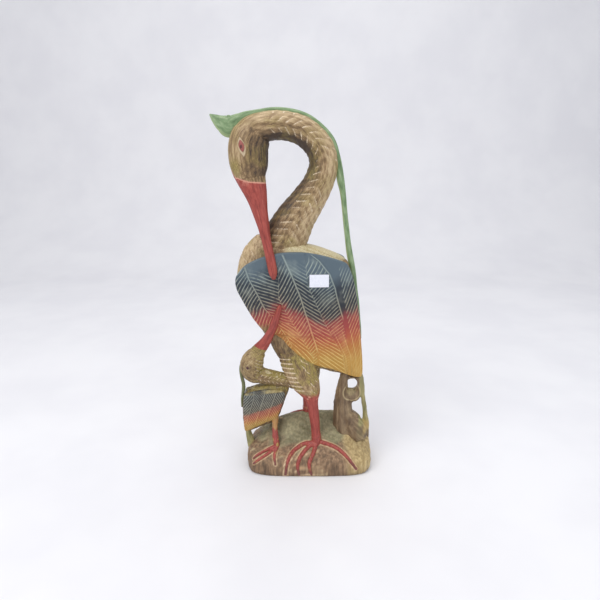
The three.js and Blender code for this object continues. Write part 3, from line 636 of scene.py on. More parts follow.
def crane_body():
    """The body, with gouge marks down the breast and two lines cut along the back above the wing."""
    body = trunk(even_slices(BODY_ROWS, 0.0), 240, 300, half_depth=seat)
    x, y, z = body.points.T
    back = ramp(-34, -16, x) * ramp(232, 238, z)
    lines = hill(z + 0.39 * x - 248.6, 0.9) + hill(z + 0.39 * x - 245.2, 0.8)
    wander = ripple(body.points, 30, 3)
    gouges = hill(((z + 0.9 * x + 3 * wander) / 8.5) % 1 - 0.5, 0.17) * ramp(-52, -60, x)
    gouges = gouges * ramp(-0.5, 0.6, ripple(body.points, 12, 4))
    uneven = 0.28 * ripple(body.points * [1, 1, 0.4], 9, 5) * (1 - back * 0.7)
    body.carve(uneven - 0.8 * lines * back - 0.6 * gouges)
    grain = np.stack([x, y, z / 5], axis=-1)
    # Painted light and shade: paler towards the breast's outer edge and at the top, darker low down.
    painted_light = 1.0 * ramp(-45, -70, x) + 0.6 * ramp(240, 255, z) - 0.6 * ramp(150, 128, z)
    olive = 0.6 * ramp(150, 128, z) * ramp(-0.4, 0.5, ripple(body.points, 18, 6))
    return body.mark(grain=grain, painted_light=painted_light, olive=olive, cream=back * (1 - 0.55 * lines), cut=gouges * 0.9)


# ---- neck and head -------------------------------------------------------------------------------
NECK_WIDTH, NECK_DEPTH = 28.5, 25.0
HEAD_WIDTH, HEAD_DEPTH = 39.0, 31.0
NECK_ROWS = [
    [-38, 0, 236, 1.72, 1.3], [-30.8, 0, 249, 1.69, 1.3], [-22.8, 0, 262, 1.58, 1.26],
    [-13.7, 0, 278.5, 1.4, 1.2], [-4.5, 0, 291.5, 1.24, 1.12], [6.5, 0, 309, 1.1, 1.05],
    [12.6, 0, 325, 1.02, 1], [12.8, 0, 336, 1, 1], [9.2, 0, 346, 1, 1], [1.7, 0, 354.9, 0.99, 1],
    [-9, -0.5, 362.4, 0.98, 1], [-23, -1.5, 366.4, 0.97, 1], [-36.5, -3, 366.8, 0.98, 1.04],
    [-48.5, -4, 363.4, 1.05, 1.08],
]
HEAD_ROWS = [
    [-51.9, -4.2, 363.4, 0.75, 0.88], [-57.4, -4.8, 356.6, 0.98, 0.98], [-60.9, -5.3, 347.5, 1, 1],
    [-61, -5.6, 338, 1, 1], [-60.5, -5.8, 329.5, 0.96, 0.97], [-59.9, -6.4, 322.2, 0.87, 0.88],
    [-58.9, -7.6, 316, 0.75, 0.76],
]
NECK_ROUND, SCALE_PITCH = 14.5, 8.2  # millimetres round the neck for each radian, and down it
EYE = (-66.0, 347.0)
EYE_SIZE, SOCKET_SIZE = (2.9, 5.8), (3.9, 9.3)  # half widths and half heights
BEAK_EDGE = ([-78, -74, -60, -45], [325, 318, 314, 313])  # the paint's edge between head and beak: x, z


def in_millimetres(rows, width, depth):
    """Rows whose shares of a width and depth are worked out."""
    return [[x, y, z, wide * width, deep * depth] for x, y, z, wide, deep in rows]


def side_lean(turn):
    """How far round a limb from the middle of its nearer side, near or far, towards its back: an
    angle between -90 and 90 degrees, in radians."""
    return np.pi / 2 - np.abs((turn + np.pi) % (2 * np.pi) - np.pi)


def chevrons(along, across, pitch, slope, first, last, seed):
    """Rows of notches that lean back from a middle line: a notch is where along + slope * |across|
    is half a pitch past a whole number of them. Each has its own strength."""
    reach = np.abs(across)
    phase = (along + slope * reach) / pitch
    strength = np.random.default_rng(seed).uniform(0.55, 1.0, 400)[np.floor(phase).astype(int) % 400]
    notch = hill((phase % 1 - 0.5) * pitch, 1.25)
    ends = ramp(first, first + 1.6, reach) * ramp(last, last - 3.0, reach)
    return notch * ends * strength


def from_eye_lens(x, z, size, rise):
    """How far a point is from the middle line of a leaning lens round the eye, 1 at the lens's edge.
    Its half width is its greatest one times 1 - t2, where t runs from -1 to 1 up its height."""
    t = (z - EYE[1] - rise) / size[1]
    aside = np.abs(x - EYE[0] + 0.22 * (z - EYE[1]))
    return aside / np.maximum(size[0] * (1 - t * t), 0.05) + 10 * (np.abs(t) > 1)


def above_beak_edge(x, z):
    """Height above the edge between the bare wood of the head and the paint of the beak."""
    return z - np.interp(x, *BEAK_EDGE)


def neck_and_head():
    """The neck and head as one limb, with notched scales down both sides, and an eye in a carved
    teardrop on each side of the head."""
    rows = in_millimetres(NECK_ROWS[:-1], NECK_WIDTH, NECK_DEPTH)
    rows += in_millimetres(HEAD_ROWS, HEAD_WIDTH, HEAD_DEPTH)
    neck = grain_of(unfolded(limb(rows, 1, 1, 460, 132), 0.7, 3))
    x, _, z = neck.points.T
    across = side_lean(neck.turn) * NECK_ROUND
    in_head = ramp(-34, -46, x) * ramp(326, 334, z)
    on_neck = (1 - np.maximum(in_head, (x < -40) & (z > 300))) * ramp(244, 256, z)
    scales = chevrons(neck.along, across, SCALE_PITCH, 0.85, 0.8, 10.5, 11)
    scales = scales + chevrons(neck.along + 4, across, SCALE_PITCH, 0.25, 12.0, 20.5, 12)
    scales = scales * on_neck * ramp(-1.1, 0.0, ripple(neck.points, 25, 13)) * ramp(-14, -10, across)
    barrel = 0.5 * on_neck * np.sin(2 * np.pi * (neck.along + 0.85 * np.abs(across)) / SCALE_PITCH)
    cheek = hill((across / 4.4) % 1 - 0.5, 0.22) * ramp(2, -3, across) * in_head * ramp(366, 352, z)
    facing = ramp(0.45, 0.6, np.abs(np.sin(neck.turn)))
    from_eye = from_eye_lens(x, z, EYE_SIZE, 0.3)
    ball = np.sqrt(np.clip(1 - from_eye**2, 0, 1)) * facing
    rim = ramp(1.15, 0.8, from_eye_lens(x, z, SOCKET_SIZE, -0.5)) * facing
    uneven = 0.22 * ripple(neck.marks["grain"], 6, 14)
    neck.carve(uneven - 0.75 * scales + 0.35 * barrel - 0.6 * cheek - 0.8 * rim + 1.3 * ball)
    from_edge = above_beak_edge(x, z)
    by_beak = (x < -30) & (z > 300) & (z < 332)
    arch = ramp(-50, -34, x) * ramp(318, 334, z)
    # Painted light and shade: paler round the outside of the arch and on the ridges of the scales, darker
    # inside the arch, in the cheek grooves and at the left end of the head.
    painted_light = 0.9 * ramp(-4, 12, across) - (1.1 + 1.3 * arch) * ramp(-2, -14, across) + 0.5 * barrel
    painted_light = painted_light - 0.6 * cheek - 0.5 * ramp(-48, -56, x)
    return neck.mark(
        cut=scales, painted_light=painted_light,
        coral=ramp(0.6, -0.6, from_edge) * by_beak, pink=0.9 * hill(from_edge + 0.4, 1.3) * by_beak,
        eye_rim=0.85 * rim * ramp(0.9, 1.15, from_eye), eye=0.9 * ramp(1.1, 0.8, from_eye) * facing,
        pupil=0.55 * ramp(2.0, 0.9, np.hypot(x - EYE[0] + 0.2, (z - EYE[1] + 0.4) * 0.7)) * facing,
        olive=0.35 * ramp(-0.2, 0.8, ripple(neck.points, 22, 15)),
    )


# ---- beaks ---------------------------------------------------------------------------------------
BEAK_WIDTH, BEAK_DEPTH = 29.0, 23.0
BEAK_ROWS = [
    [-59, -7, 318.2, 1.04, 1], [-53.7, -11, 300.7, 0.75, 0.78], [-50.2, -14.5, 286.3, 0.555, 0.61],
    [-46.8, -18, 272.1, 0.42, 0.49], [-44, -21.2, 258.1, 0.335, 0.4], [-40.9, -24.4, 244.2, 0.32, 0.36],
    [-38.6, -26.8, 233.3, 0.32, 0.33], [-37.1, -28, 225.1, 0.29, 0.29], [-36.4, -28.4, 219.8, 0.14, 0.16],
]


def beak(rows, width, depth, rings, sides, split, seed):
    """A tapering beak with a line cut along each side, where the two halves meet. split is how far
    down it the line starts."""
    made = grain_of(limb(rows, width, depth, rings, sides, domes=(0.5, 1.0)))
    across = side_lean(made.turn) * made.girth
    share = made.along / made.along.max()
    line = hill(across - 0.6, 0.55) * ramp(split, split + 0.15, share)
    made.carve(0.14 * ripple(made.marks["grain"], 5, seed) - 0.55 * line)
    # Pink near the root of the beak: partly paint rubbed thin, partly a painted highlight.
    rubbed = ramp(0.16, 0.02, share) * ramp(-0.3, 0.5, ripple(made.points, 9, seed + 1))
    orange = 0.3 * ramp(0.62, 0.9, share) * ramp(0.5, 2.0, np.abs(across - 0.6))
    # The groove along each side is painted dark as painted shade.
    return made.mark(seam=0.6 * line, orange=orange, pink=0.5 * rubbed, coral=1 + 0 * share)


def crane_beak():
    """The crane's beak. Above the edge of the paint it is bare wood, like the head it runs into."""
    made = beak(BEAK_ROWS, BEAK_WIDTH, BEAK_DEPTH, 220, 72, 0.18, 21)
    x, _, z = made.points.T
    from_edge = above_beak_edge(x, z)
    painted = ramp(0.6, -0.6, from_edge)
    pink = np.maximum(made.marks["pink"] * painted, 0.9 * hill(from_edge + 0.4, 1.3))
    return made.mark(pink=pink, coral=painted, seam=made.marks["seam"] * painted)


# ---- plumes --------------------------------------------------------------------------------------
PLUME_WIDTH, PLUME_DEPTH = 5.6, 5.2
CREST_ROWS = [
    [-97.6, -3, 376.9, 0.25, 0.35], [-92.5, -3.2, 372.9, 1.6, 0.7], [-86, -3.6, 368.8, 2.85, 0.95],
    [-78.2, -4, 366, 3.8, 1.1], [-69, -4, 371.6, 2.4, 1], [-60, -3.8, 376, 1.6, 1],
]
STRAND_ROWS = [
    [29.2, 0, 327, 1.15, 1], [30.4, 0, 316, 1.35, 1], [32.8, 0, 304, 1.08, 1], [34.6, 0, 292, 1, 1],
    [36.6, 0, 275, 1, 1], [38.9, 0, 257, 1.04, 1], [41.5, 0, 240.5, 1.15, 1.1],
    [44.6, 0, 225, 1.15, 1.2], [47.4, 0, 210, 0.95, 1.2], [49.8, 0, 195, 0.8, 1.1],
    [52.4, 0, 177, 0.65, 0.9], [54.6, 0, 160, 0.5, 0.7], [56, 0, 147, 0.3, 0.5],
]
FORK_ROW = 7


def neck_back():
    """Places on the back of the neck, from the crown of the head down to the fork: its middle line
    moved half its width outwards, square to its path."""
    rows = np.array(NECK_ROWS, float)
    place, heading = spline(rows[:, :3], np.arange(len(rows), dtype=float))
    outward = np.cross(TOWARDS_FAR, unit(heading)) * [1, 0, 1]
    place = place + unit(outward) * rows[:, 3:4] * NECK_WIDTH / 2
    return [[*p, 1, 1] for p in place[FORK_ROW:-1][::-1]]


def plume(rows, rings, sides, dull, seed):
    """A flat plume with a painted highlight: a pale outer edge. dull is how brown it is all over."""
    made = grain_of(limb(rows, PLUME_WIDTH, PLUME_DEPTH, rings, sides, exponent=2.3, domes=(0.3, 0.3)))
    made.carve(0.16 * ripple(made.marks["grain"], 4, seed))
    return made.mark(edge=ramp(0.5, 0.95, np.cos(made.turn)), dull=dull + 0 * made.turn)


# ---- wings ---------------------------------------------------------------------------------------
WING_OUTLINE = [
    [-46.4, 241], [-57.9, 236.4], [-67.6, 230.2], [-75.6, 219.5], [-75.6, 207], [-68.2, 190.2], [-60.2, 175],
    [-51.8, 162.8], [-45.5, 156], [-37, 155.5], [-29, 150], [-23.4, 142.6], [-14.9, 133.9], [-5.1, 126],
    [4.7, 120], [14.5, 116.6], [26.2, 113.6], [37.1, 109.6], [46, 106], [54, 104.6], [58, 107.5],
    [57.6, 124], [55.5, 144.3], [53.2, 164.6], [51, 182.7], [47.9, 201.6], [43.8, 218.5], [38.6, 231.6],
    [32.6, 236.2], [18.7, 240.6], [4.3, 243.9], [-10, 245.6], [-29.2, 245],
]
WING_HEART = (-6.0, 186.0)
# Lines down the crane's wing, as [x, z] from the bottom up: quills, and edges between feathers.
QUILL_A = [
    [-16, 138], [-22.4, 150.3], [-29, 162.6], [-40.4, 179.8], [-46.2, 186.4], [-54.7, 204.5],
    [-62.3, 218.8], [-66, 230],
]
EDGE_AB = [[4.2, 130.3], [-1.5, 140.8], [-12, 160], [-24, 182], [-31.9, 199], [-31.9, 226], [-36, 240]]
QUILL_B = [
    [9.5, 124], [9, 136], [6.2, 146.5], [1.4, 162.6], [-4.3, 181.7], [-10, 200.7], [-18.6, 222.6],
    [-28.1, 243.5],
]
EDGE_BC = [[40, 106], [35.6, 132.2], [15.7, 170.3], [7, 190], [-1.5, 209.2], [-4, 224], [-6, 246]]
QUILL_C = [
    [44, 130], [38, 160], [33.7, 177.9], [28, 196.9], [25.2, 209.2], [19.5, 223.5], [9, 236.8],
    [0.4, 243.5],
]
EDGE_CD = [[46, 130], [42, 160], [37, 186], [33, 205], [30, 222], [27, 240]]
EDGE_D = [[60, 100], [52, 240]]
# Quills as (line, height it starts from, height it ends at, half its breadth).
SHAFTS = [
    (QUILL_A, 176, 231, 1.0), (QUILL_B, 134, 244, 1.15), (QUILL_C, 172, 244, 0.95), (QUILL_A, 140, 166, 0.8),
]
# How high the red reaches up into the blue across the wing: x, z.
RED_TOP = ([-75, -55, -30, -10, 5, 20, 45, 58], [179, 181, 193, 181, 174, 172, 183, 186])


def line_at(line, z):
    """A line's x at each height."""
    x, heights = np.array(line, float).T
    return np.interp(z, heights, x)


def barbs(x, z, line, degrees, pitch, wander):
    """Barbs that run down from a line at that many degrees below the level. A barb that leaves the
    line at height h is at h - m |reach| / (1 + k m), where m is its fall per step sideways and k is
    the line's own step sideways per rise, counted away from the line. So h picks a point's barb.
    Returns how much of a groove the point is in, and the barb's number."""
    gap = x - line_at(line, z)
    fall = math.tan(math.radians(degrees))
    lean = (line[-1][0] - line[0][0]) / (line[-1][1] - line[0][1])
    spread = 1 + np.sign(gap) * lean * fall
    leaves = z + np.abs(gap) * fall / spread + wander
    count = leaves * spread / (pitch * math.hypot(1, fall))
    groove = hill((count % 1 - 0.5) * pitch, 0.72)
    return groove * ramp(0.5, 1.6, np.abs(gap)), np.floor(count)


def crane_feathers(x, z):
    """What is carved on the crane's wing: four feathers side by side, each with a quill and barbs
    that slope down and away from it, over long smooth tail quills. Returns the relief and the marks;
    height is how far up through the paint a point is."""
    wander = 0.5 * ripple(np.stack([x, z], axis=-1), 22, 31)
    a, b, c = (line_at(line, z) for line in (QUILL_A, QUILL_B, QUILL_C))
    ab, bc, cd = (line_at(line, z) for line in (EDGE_AB, EDGE_BC, EDGE_CD))
    low_a = z + (x - a) * 0.3 < 174
    fields = [
        (x < a, barbs(x, z, QUILL_A, 64, 3.2, wander), 1.0),
        ((x >= a) & (x < ab) & ~low_a, barbs(x, z, QUILL_A, 17, 3.3, wander), ramp(229, 219, z)),
        ((x >= a) & (x < ab) & low_a, barbs(x, z, QUILL_A, 38, 3.3, wander), 1.0),
        ((x >= ab) & (x < b), barbs(x, z, QUILL_B, 58, 3.2, wander), ramp(240, 226, z)),
        ((x >= b) & (x < bc), barbs(x, z, QUILL_B, 32, 3.3, wander), ramp(238, 218, z)),
        ((x >= bc) & (x < c), barbs(x, z, QUILL_C, 47, 3.3, wander), ramp(244, 232, z)),
        (x >= cd, barbs(x, z, EDGE_D, 70, 3.0, wander), ramp(234, 222, z)),
    ]
    groove, number = 0 * x, 0 * x
    for k, (inside, (cut, barb), strength) in enumerate(fields):
        groove = np.where(inside, cut * strength, groove)
        number = np.where(inside, barb + 50 * k, number)
    tail = ramp(168, 148, z) * (x >= bc)
    fan = hill((((x - bc) / (60 - bc)) * 4.4) % 1 - 0.5, 0.09)
    groove = groove * (1 - 0.75 * tail) + fan * tail * 0.7
    quill, flank = 0 * x, 0 * x
    for line, low, high, breadth in SHAFTS:
        off = (x - line_at(line, z)) * 0.88
        here = ramp(low, low + 8, z) * ramp(high, high - 2, z)
        quill = np.maximum(quill, hill(off, breadth) * here)
        flank = np.maximum(flank, hill(np.abs(off) - breadth - 0.4, 0.6) * here)
    lap = ramp(0, 0.7, x - bc) * ramp(9, 0, x - bc) + 0.6 * ramp(0, -0.7, x - ab) * ramp(-7, 0, x - ab)
    lap = lap * ramp(110, 120, z)
    seam = hill(x - ab, 0.7) * ramp(232, 226, z) + hill(x - bc - 0.4, 0.7) * ramp(236, 226, z)
    relief = 0.55 * quill - 0.35 * flank - 0.6 * groove - 0.7 * lap - 0.2 * seam
    own = np.random.default_rng(32).uniform(-1, 1, 700)[number.astype(int) % 700]
    height = 0.58 + (z - np.interp(x, *RED_TOP)) / 120
    low = 0.47 + (z - 160) / 90
    height = np.where(z < 166, np.minimum(height, np.maximum(low, 0.05)), height)
    height = height + own * 0.022
    bare = 0.9 * ramp(-28, -44, x) * ramp(180, 156, z) + ramp(-60, -74, x) * ramp(205, 225, z) * 0.35
    marks = {"cut": np.clip(groove + seam * 0.4, 0, 1), "quill": quill, "bare": bare, "height": height}
    return relief, marks


CHICK_WING_OUTLINE = [
    [-71.8, 84.5], [-66, 87.6], [-57, 90], [-45, 91.6], [-34, 91], [-27.5, 87.5], [-27, 82], [-30.2, 72],
    [-33.6, 63], [-37.2, 56.2], [-48.5, 51.2], [-60, 45.6], [-69.5, 41], [-72.6, 42.5], [-73.2, 54],
    [-73.4, 70],
]
CHICK_WING_HEART = (-52.0, 68.0)
CHICK_MIDDLE, CHICK_SEAT = -4.0, 7.5
CHICK_SHADES = ([46, 52, 57, 62, 67, 71, 90], [0.02, 0.12, 0.28, 0.44, 0.56, 0.7, 0.86])
CHICK_QUILLS = [[[-71, 48], [-61, 82]], [[-60.5, 49], [-49, 86]], [[-48.5, 53], [-36.5, 88]]]


def chick_seat(z):
    """Half the chick's thickness under its wings, the same at every height."""
    return CHICK_SEAT + 0 * z


def chick_back_level(x, z):
    """Height above the chick's back, which rises a tenth of the way to the right."""
    return z - 0.1 * (x + 45)


def chick_feathers(x, z):
    """What is carved on the chick's wing: three quills that lean to the right, with barbs between."""
    wander = 0.35 * ripple(np.stack([x, z], axis=-1), 14, 41)
    groove, quill, number = 0 * x, 0 * x, 0 * x
    for k, line in enumerate(CHICK_QUILLS):
        off = x - line_at(line, z)
        right, barb = barbs(x, z, line, 60, 2.1, wander)
        groove = np.where(off > 0, right, groove if k else barbs(x, z, line, 50, 2.1, wander)[0])
        number = np.where(off > 0, barb + 40 * k, number)
        quill = np.maximum(quill, hill(off * 0.93, 0.75) * ramp(line[0][1] - 3, line[0][1] + 3, z))
    groove = groove * ramp(90.5, 86, z) * 0.85
    own = np.random.default_rng(42).uniform(-1, 1, 300)[number.astype(int) % 300]
    height = np.interp(z - 0.33 * (x + 52), *CHICK_SHADES)
    rim = ramp(86.5, 88.5, chick_back_level(x, z))
    marks = {"cut": groove, "quill": quill, "rim": rim, "height": height + own * 0.02, "dull": 1 + 0 * x}
    return 0.4 * quill - 0.42 * groove + 0.5 * rim, marks


def wing(outline, heart, side, middle, seat_at, edge, bulge, columns, levels, carving):
    """A wing: level rows of points between the outline's left and right edges. Its outer face rises
    from the rim by edge and a quarter round, then by bulge times 1 - share ** 2.2, where share is
    how far out from the heart a point is; on that lies the relief from carving(x, z). Its back is
    flat, on the seat whose half thickness seat_at(z) gives."""
    rim = spline(outline, np.linspace(0, len(outline), 3000, endpoint=False), closed=True)[0]
    rim = np.roll(rim, -rim[:, 1].argmax(), axis=0)
    foot = rim[:, 1].argmin()
    left, right = rim[: foot + 1][::-1], rim[foot:]
    even = np.linspace(0, 1, levels)
    level = 0.75 * even + 0.25 * (1 - np.cos(np.pi * even)) / 2
    z = (rim[foot, 1] + 0.12 + (rim[0, 1] - rim[foot, 1] - 0.2) * level)[:, None]
    x_left = np.interp(z, np.maximum.accumulate(left[:, 1]), left[:, 0])
    x_right = np.interp(z, np.maximum.accumulate(right[:, 1]), right[:, 0])
    x = x_left + (x_right - x_left) * np.linspace(0, 1, columns)
    z = z + 0 * x
    spokes = rim - heart
    angle = np.arctan2(spokes[:, 1], spokes[:, 0])
    order = angle.argsort()
    reach = np.interp(
        np.arctan2(z - heart[1], x - heart[0]),
        angle[order], np.linalg.norm(spokes, axis=1)[order], period=2 * np.pi,
    )
    out = np.hypot(x - heart[0], z - heart[1])
    share = np.clip(out / reach, 0, 1)
    inwards = np.clip((reach - out) / 1.8, 0, 1)
    rounding = np.sqrt(1 - (1 - inwards) ** 2)
    relief, marks = carving(x, z)
    relief = relief * ramp(0, 1.5, reach - out)
    rise = 0.3 + (edge - 0.3) * rounding + bulge * (1 - share**2.2) + relief
    front = np.stack([x, middle + side * (seat_at(z) + GLUE + rise), z], axis=-1)
    index = np.arange(levels * columns).reshape(levels, columns)
    quads = np.stack([index[:-1, :-1], index[:-1, 1:], index[1:, 1:], index[1:, :-1]], axis=-1)
    loop = np.concatenate([index[0], index[1:, -1], index[-1, -2::-1], index[-2:0:-1, 0]])
    rim_points = front.reshape(-1, 3)[loop]

    def on_seat(places):
        """Places moved straight onto the wing's flat back, a glue line from the body."""
        depth = middle + side * (seat_at(places[:, 2]) + GLUE)
        return np.stack([places[:, 0], depth, places[:, 2]], axis=-1)

    centre = np.array([heart[0], 0, heart[1]])
    back = [on_seat(rim_points), on_seat(centre + (rim_points - centre) * 0.9)]
    first, around = levels * columns, np.arange(len(loop))
    wall = np.stack([loop, first + around, first + len(loop) + around])
    turned = np.roll(wall, -1, axis=1)
    band = np.stack([wall[:-1], turned[:-1], turned[1:], wall[1:]], axis=-1).reshape(-1, 4)[:, ::-1]
    last = first + 2 * len(loop)
    fan = np.stack([wall[2], turned[2], np.full(len(loop), last)], axis=-1)[:, ::-1]
    points = np.vstack([front.reshape(-1, 3), *back, on_seat(centre[None])])
    skin = Skin(points, np.vstack([quads.reshape(-1, 4), band]), fan).face_outwards()
    for name, values in marks.items():
        own = values.ravel()
        skin.marks[name] = np.concatenate([own, own[loop], own[loop], [own.mean()]])
    return skin


def crane_wing(side):
    """The crane's wing on one side, NEAR or FAR."""
    return wing(WING_OUTLINE, WING_HEART, side, 0.0, seat, 2.5, 8.5, 262, 318, crane_feathers)


def chick_wing(side):
    """The chick's wing on one side, NEAR or FAR."""
    return wing(
        CHICK_WING_OUTLINE, CHICK_WING_HEART, side, CHICK_MIDDLE, chick_seat, 1.6, 2.8, 150, 160,
        chick_feathers,
    )


# ---- legs ----------------------------------------------------------------------------------------
THIGH_WIDTH, THIGH_DEPTH = 36.0, 19.0
NEAR_LEG = [
    [-20, -3.5, 136, 0.9, 0.64], [-15.5, -4.8, 126, 0.98, 0.74], [-11.5, -7.2, 115.5, 1, 0.9],
    [-7, -10.5, 105, 0.95, 1], [-2.2, -13.6, 96.5, 0.8, 0.92], [1.4, -15.8, 88.5, 0.58, 0.78],
    [3, -16.6, 80.5, 0.385, 0.64], [4.4, -16.8, 69, 0.33, 0.57], [6.2, -17, 54, 0.3, 0.55],
    [7.6, -17.6, 39, 0.29, 0.54],
]
FAR_LEG = [
    [-16, 3.5, 136, 0.9, 0.64], [-11, 4.8, 126, 0.98, 0.74], [-7, 7.2, 115.5, 1, 0.9], [-3, 10, 105, 0.9, 1],
    [-0.8, 12, 96.5, 0.72, 0.9], [-0.5, 13, 88.5, 0.52, 0.76], [-0.8, 13.2, 80.5, 0.36, 0.62],
    [-1.2, 13.2, 71, 0.32, 0.56], [-1.6, 13.4, 58, 0.29, 0.54],
]


def crane_leg(rows, seed):
    """A thigh with level notches down one edge and slanting cuts beside them, and a coral shank below
    the knee."""
    made = grain_of(limb(rows, THIGH_WIDTH, THIGH_DEPTH, 190, 112))
    z = made.points[:, 2]
    across = side_lean(made.turn) * made.girth
    thigh = ramp(86, 94, z)
    notches = hill(((z + 0.12 * across) / 4.6) % 1 - 0.5, 0.27) * ramp(1.5, 5, across) * ramp(130, 124, z)
    slants = hill(((z - 1.1 * across + 2 * ripple(made.points, 14, seed)) / 8.5) % 1 - 0.5, 0.16)
    slants = slants * ramp(0, -4, across) * ramp(0.0, 0.8, ripple(made.points, 11, seed + 1))
    cuts = (notches + slants) * thigh
    creases = hill(((across + 1.5) / 5.5) % 1 - 0.5, 0.3) * ramp(84, 72, z)
    made.carve(0.25 * ripple(made.marks["grain"], 6, seed + 2) - 0.85 * cuts - 0.2 * creases)
    knee = ramp(99, 79, z + 2.5 * ripple(made.points, 12, seed + 3))
    front_edge = 0.9 * ramp(2, -5, across) * ramp(98, 110, z)
    # Painted light and shade: the pink band at the knee is a painted highlight on its bulge, and the top of
    # the thigh's back is darkened as painted shade under the wing, the rest a little paler.
    return made.mark(
        cut=cuts, coral=knee, pink=0.8 * hill(z - 86, 5) * ramp(0.1, 0.9, ripple(made.points, 7, seed + 4)),
        painted_light=-0.8 * ramp(110, 128, z) * ramp(-4, 4, across) + 0.2,
        olive=0.8 * ramp(-0.5, 0.5, ripple(made.points, 15, seed + 5)) + front_edge,
    )


# ---- the mound -----------------------------------------------------------------------------------
MOUND_ROWS = [
    [0, -66, 66, -38, 38, 4.8], [2, -68.8, 69, -39.3, 39.3, 4.8], [8, -69.8, 70, -39.5, 39.5, 4.6],
    [14, -69.6, 70, -38.4, 38.8, 4.3], [19, -68, 69.8, -35, 37, 3.9], [24, -64, 69, -29.4, 35, 3.5],
    [29, -58, 67.8, -22.8, 32.4, 3.1], [34, -51.5, 66, -16.2, 29.2, 2.9], [39, -44.5, 63.5, -9.8, 26, 2.7],
    [44, -37.5, 59, -4, 22.4, 2.5], [48.5, -29, 52, 1.2, 18.6, 2.4], [51.6, -18, 43, 4.6, 15.4, 2.3],
    [53, -6, 32, 7.4, 12.6, 2.2],
]
FEET = {
    "near": {
        "side": NEAR,
        "ankle": [[7.5, -17.5, 40.5, 0.3, 0.56], [8, -18, 34, 0.31, 0.57], [8.6, -18.6, 22, 0.3, 0.56]],
        "toes": [
            [[6.5, 31], [-6.5, 29.7], [-16.7, 25.3], [-22.3, 19.9], [-25.2, 11.5], [-26.3, 2.5]],
            [[6.5, 30.5], [-1.4, 27.4], [-8.6, 22], [-12.4, 16.1], [-12.6, 8.5], [-11, 2.5]],
            [[8.2, 30.5], [4.7, 24.1], [1, 18.5], [-0.3, 13.6], [0.9, 7.5], [2.3, 2.5]],
            [[9.5, 32], [20.3, 29.7], [29.4, 27.2], [38.4, 22.3], [45.2, 16.1], [51.3, 8.2]],
        ],
    },
    "far": {
        "side": FAR,
        "ankle": [[-1.6, 13.4, 59.5, 0.3, 0.56], [-1.7, 13.6, 52, 0.31, 0.57], [-1.8, 13.8, 42, 0.3, 0.56]],
        "toes": [
            [[-2.5, 51.5], [-12, 49.6], [-20, 46.4], [-27, 41]],
            [[-2.5, 50.5], [-8, 44], [-12, 36], [-13.5, 27]],
            [[-1, 50.5], [3, 44], [5.5, 36], [6.5, 27]],
            [[-1, 51.5], [10, 50], [20, 45.5]],
        ],
    },
}
CHICK_FEET = {
    "near": {
        "side": NEAR,
        "ankle": [[-37.6, -18.3, 35.8, 1, 1], [-36.6, -20.8, 30, 1, 1], [-35.6, -22.4, 20, 0.95, 0.95]],
        "toes": [
            [[-36.5, 28], [-48.6, 23.8], [-57.8, 19.4], [-62, 16]],
            [[-36.5, 26.5], [-48.4, 20.7], [-57.5, 15.3], [-61.8, 11.5]],
            [[-36, 26.5], [-38.4, 20.8], [-37.2, 14]],
        ],
    },
    "far": {
        "side": FAR,
        "ankle": [[-42.1, 8.6, 44.8, 1, 1], [-42.8, 11.4, 38, 1, 1], [-43.4, 13.4, 28, 0.95, 0.95]],
        "toes": [
            [[-43.6, 37.6], [-50, 33], [-56, 26]],
            [[-43.2, 37.8], [-46, 32], [-48, 24]],
            [[-42, 38.4], [-36, 37], [-29, 33]],
        ],
    },
}
TOE_WIDTH, CHICK_TOE_WIDTH = 4.8, 3.6
TOE_SINK, CLAW_TAPER = 0.1, 0.45


def mound_face(x, z, side):
    """Where the mound's near or far face is above a place on its side view: the superellipse slice
    at that height, solved for y."""
    rows = np.array(MOUND_ROWS, float)
    left, right, near, far, exponent = (np.interp(z, rows[:, 0], rows[:, k]) for k in range(1, 6))
    offset = np.minimum(1, np.abs(2 * x - left - right) / (right - left))
    return (near + far + side * (far - near) * (1 - offset**exponent) ** (1 / exponent)) / 2


def toe_rows(line, side):
    """A toe's rows on the mound's face, thinning towards its claw with the square of the way."""
    x, z = np.array(line, float).T
    share = 1 - CLAW_TAPER * np.linspace(0, 1, len(line)) ** 2
    return np.stack([x, mound_face(x, z, side) - side * TOE_SINK, z, share, share], axis=-1)


def toe_line(line, side):
    """Places along a toe's middle."""
    rows = toe_rows(line, side)
    return spline(rows[:, :3], np.linspace(0, len(rows) - 1, 60))[0]


def foot(plan, girth, width, wear, voxel):
    """A foot: an ankle and its toes skinned as one, with a dark claw at each toe's end, and its
    paint worn to ochre in places."""
    facing = unit(np.array([0.1, plan["side"] * 0.75, 0.65]))
    parts = [limb(plan["ankle"], *girth, 24, 24)]
    for line in plan["toes"]:
        parts.append(limb(toe_rows(line, plan["side"]), width, width, 60, 20, facing=facing, domes=(1, 1)))
    made = fused(parts, voxel, 4)
    claw = 0 * made.points[:, 0]
    for line in plan["toes"]:
        gap, share = nearest(made.points, toe_line(line, plan["side"]))
        claw = np.maximum(claw, ramp(0.5, 0.9, share) * (gap < width))
    made.carve(0.12 * ripple(made.points, 4, 51))
    worn = ramp(0.2, 1.3, ripple(made.points, 6, 52))
    return made.mark(grain=made.points * [1, 1, 0.5], claw=0.85 * claw, ochre=wear * worn)


def outline_cuts(points, plan, width):
    """The pale groove cut round each toe: a hill of cut just outside the toe's own half width."""
    cut = 0 * points[:, 0]
    inside = 0 * points[:, 0]
    for line in plan["toes"]:
        gap, share = nearest(points, toe_line(line, plan["side"]))
        half = width / 2 * (1 - CLAW_TAPER * share**2)
        cut = np.maximum(cut, hill(gap - half - 0.75, 1.05) * ramp(0.0, 0.12, share))
        inside = np.maximum(inside, ramp(half + 0.3, half - 0.3, gap))
    return cut * (1 - inside)


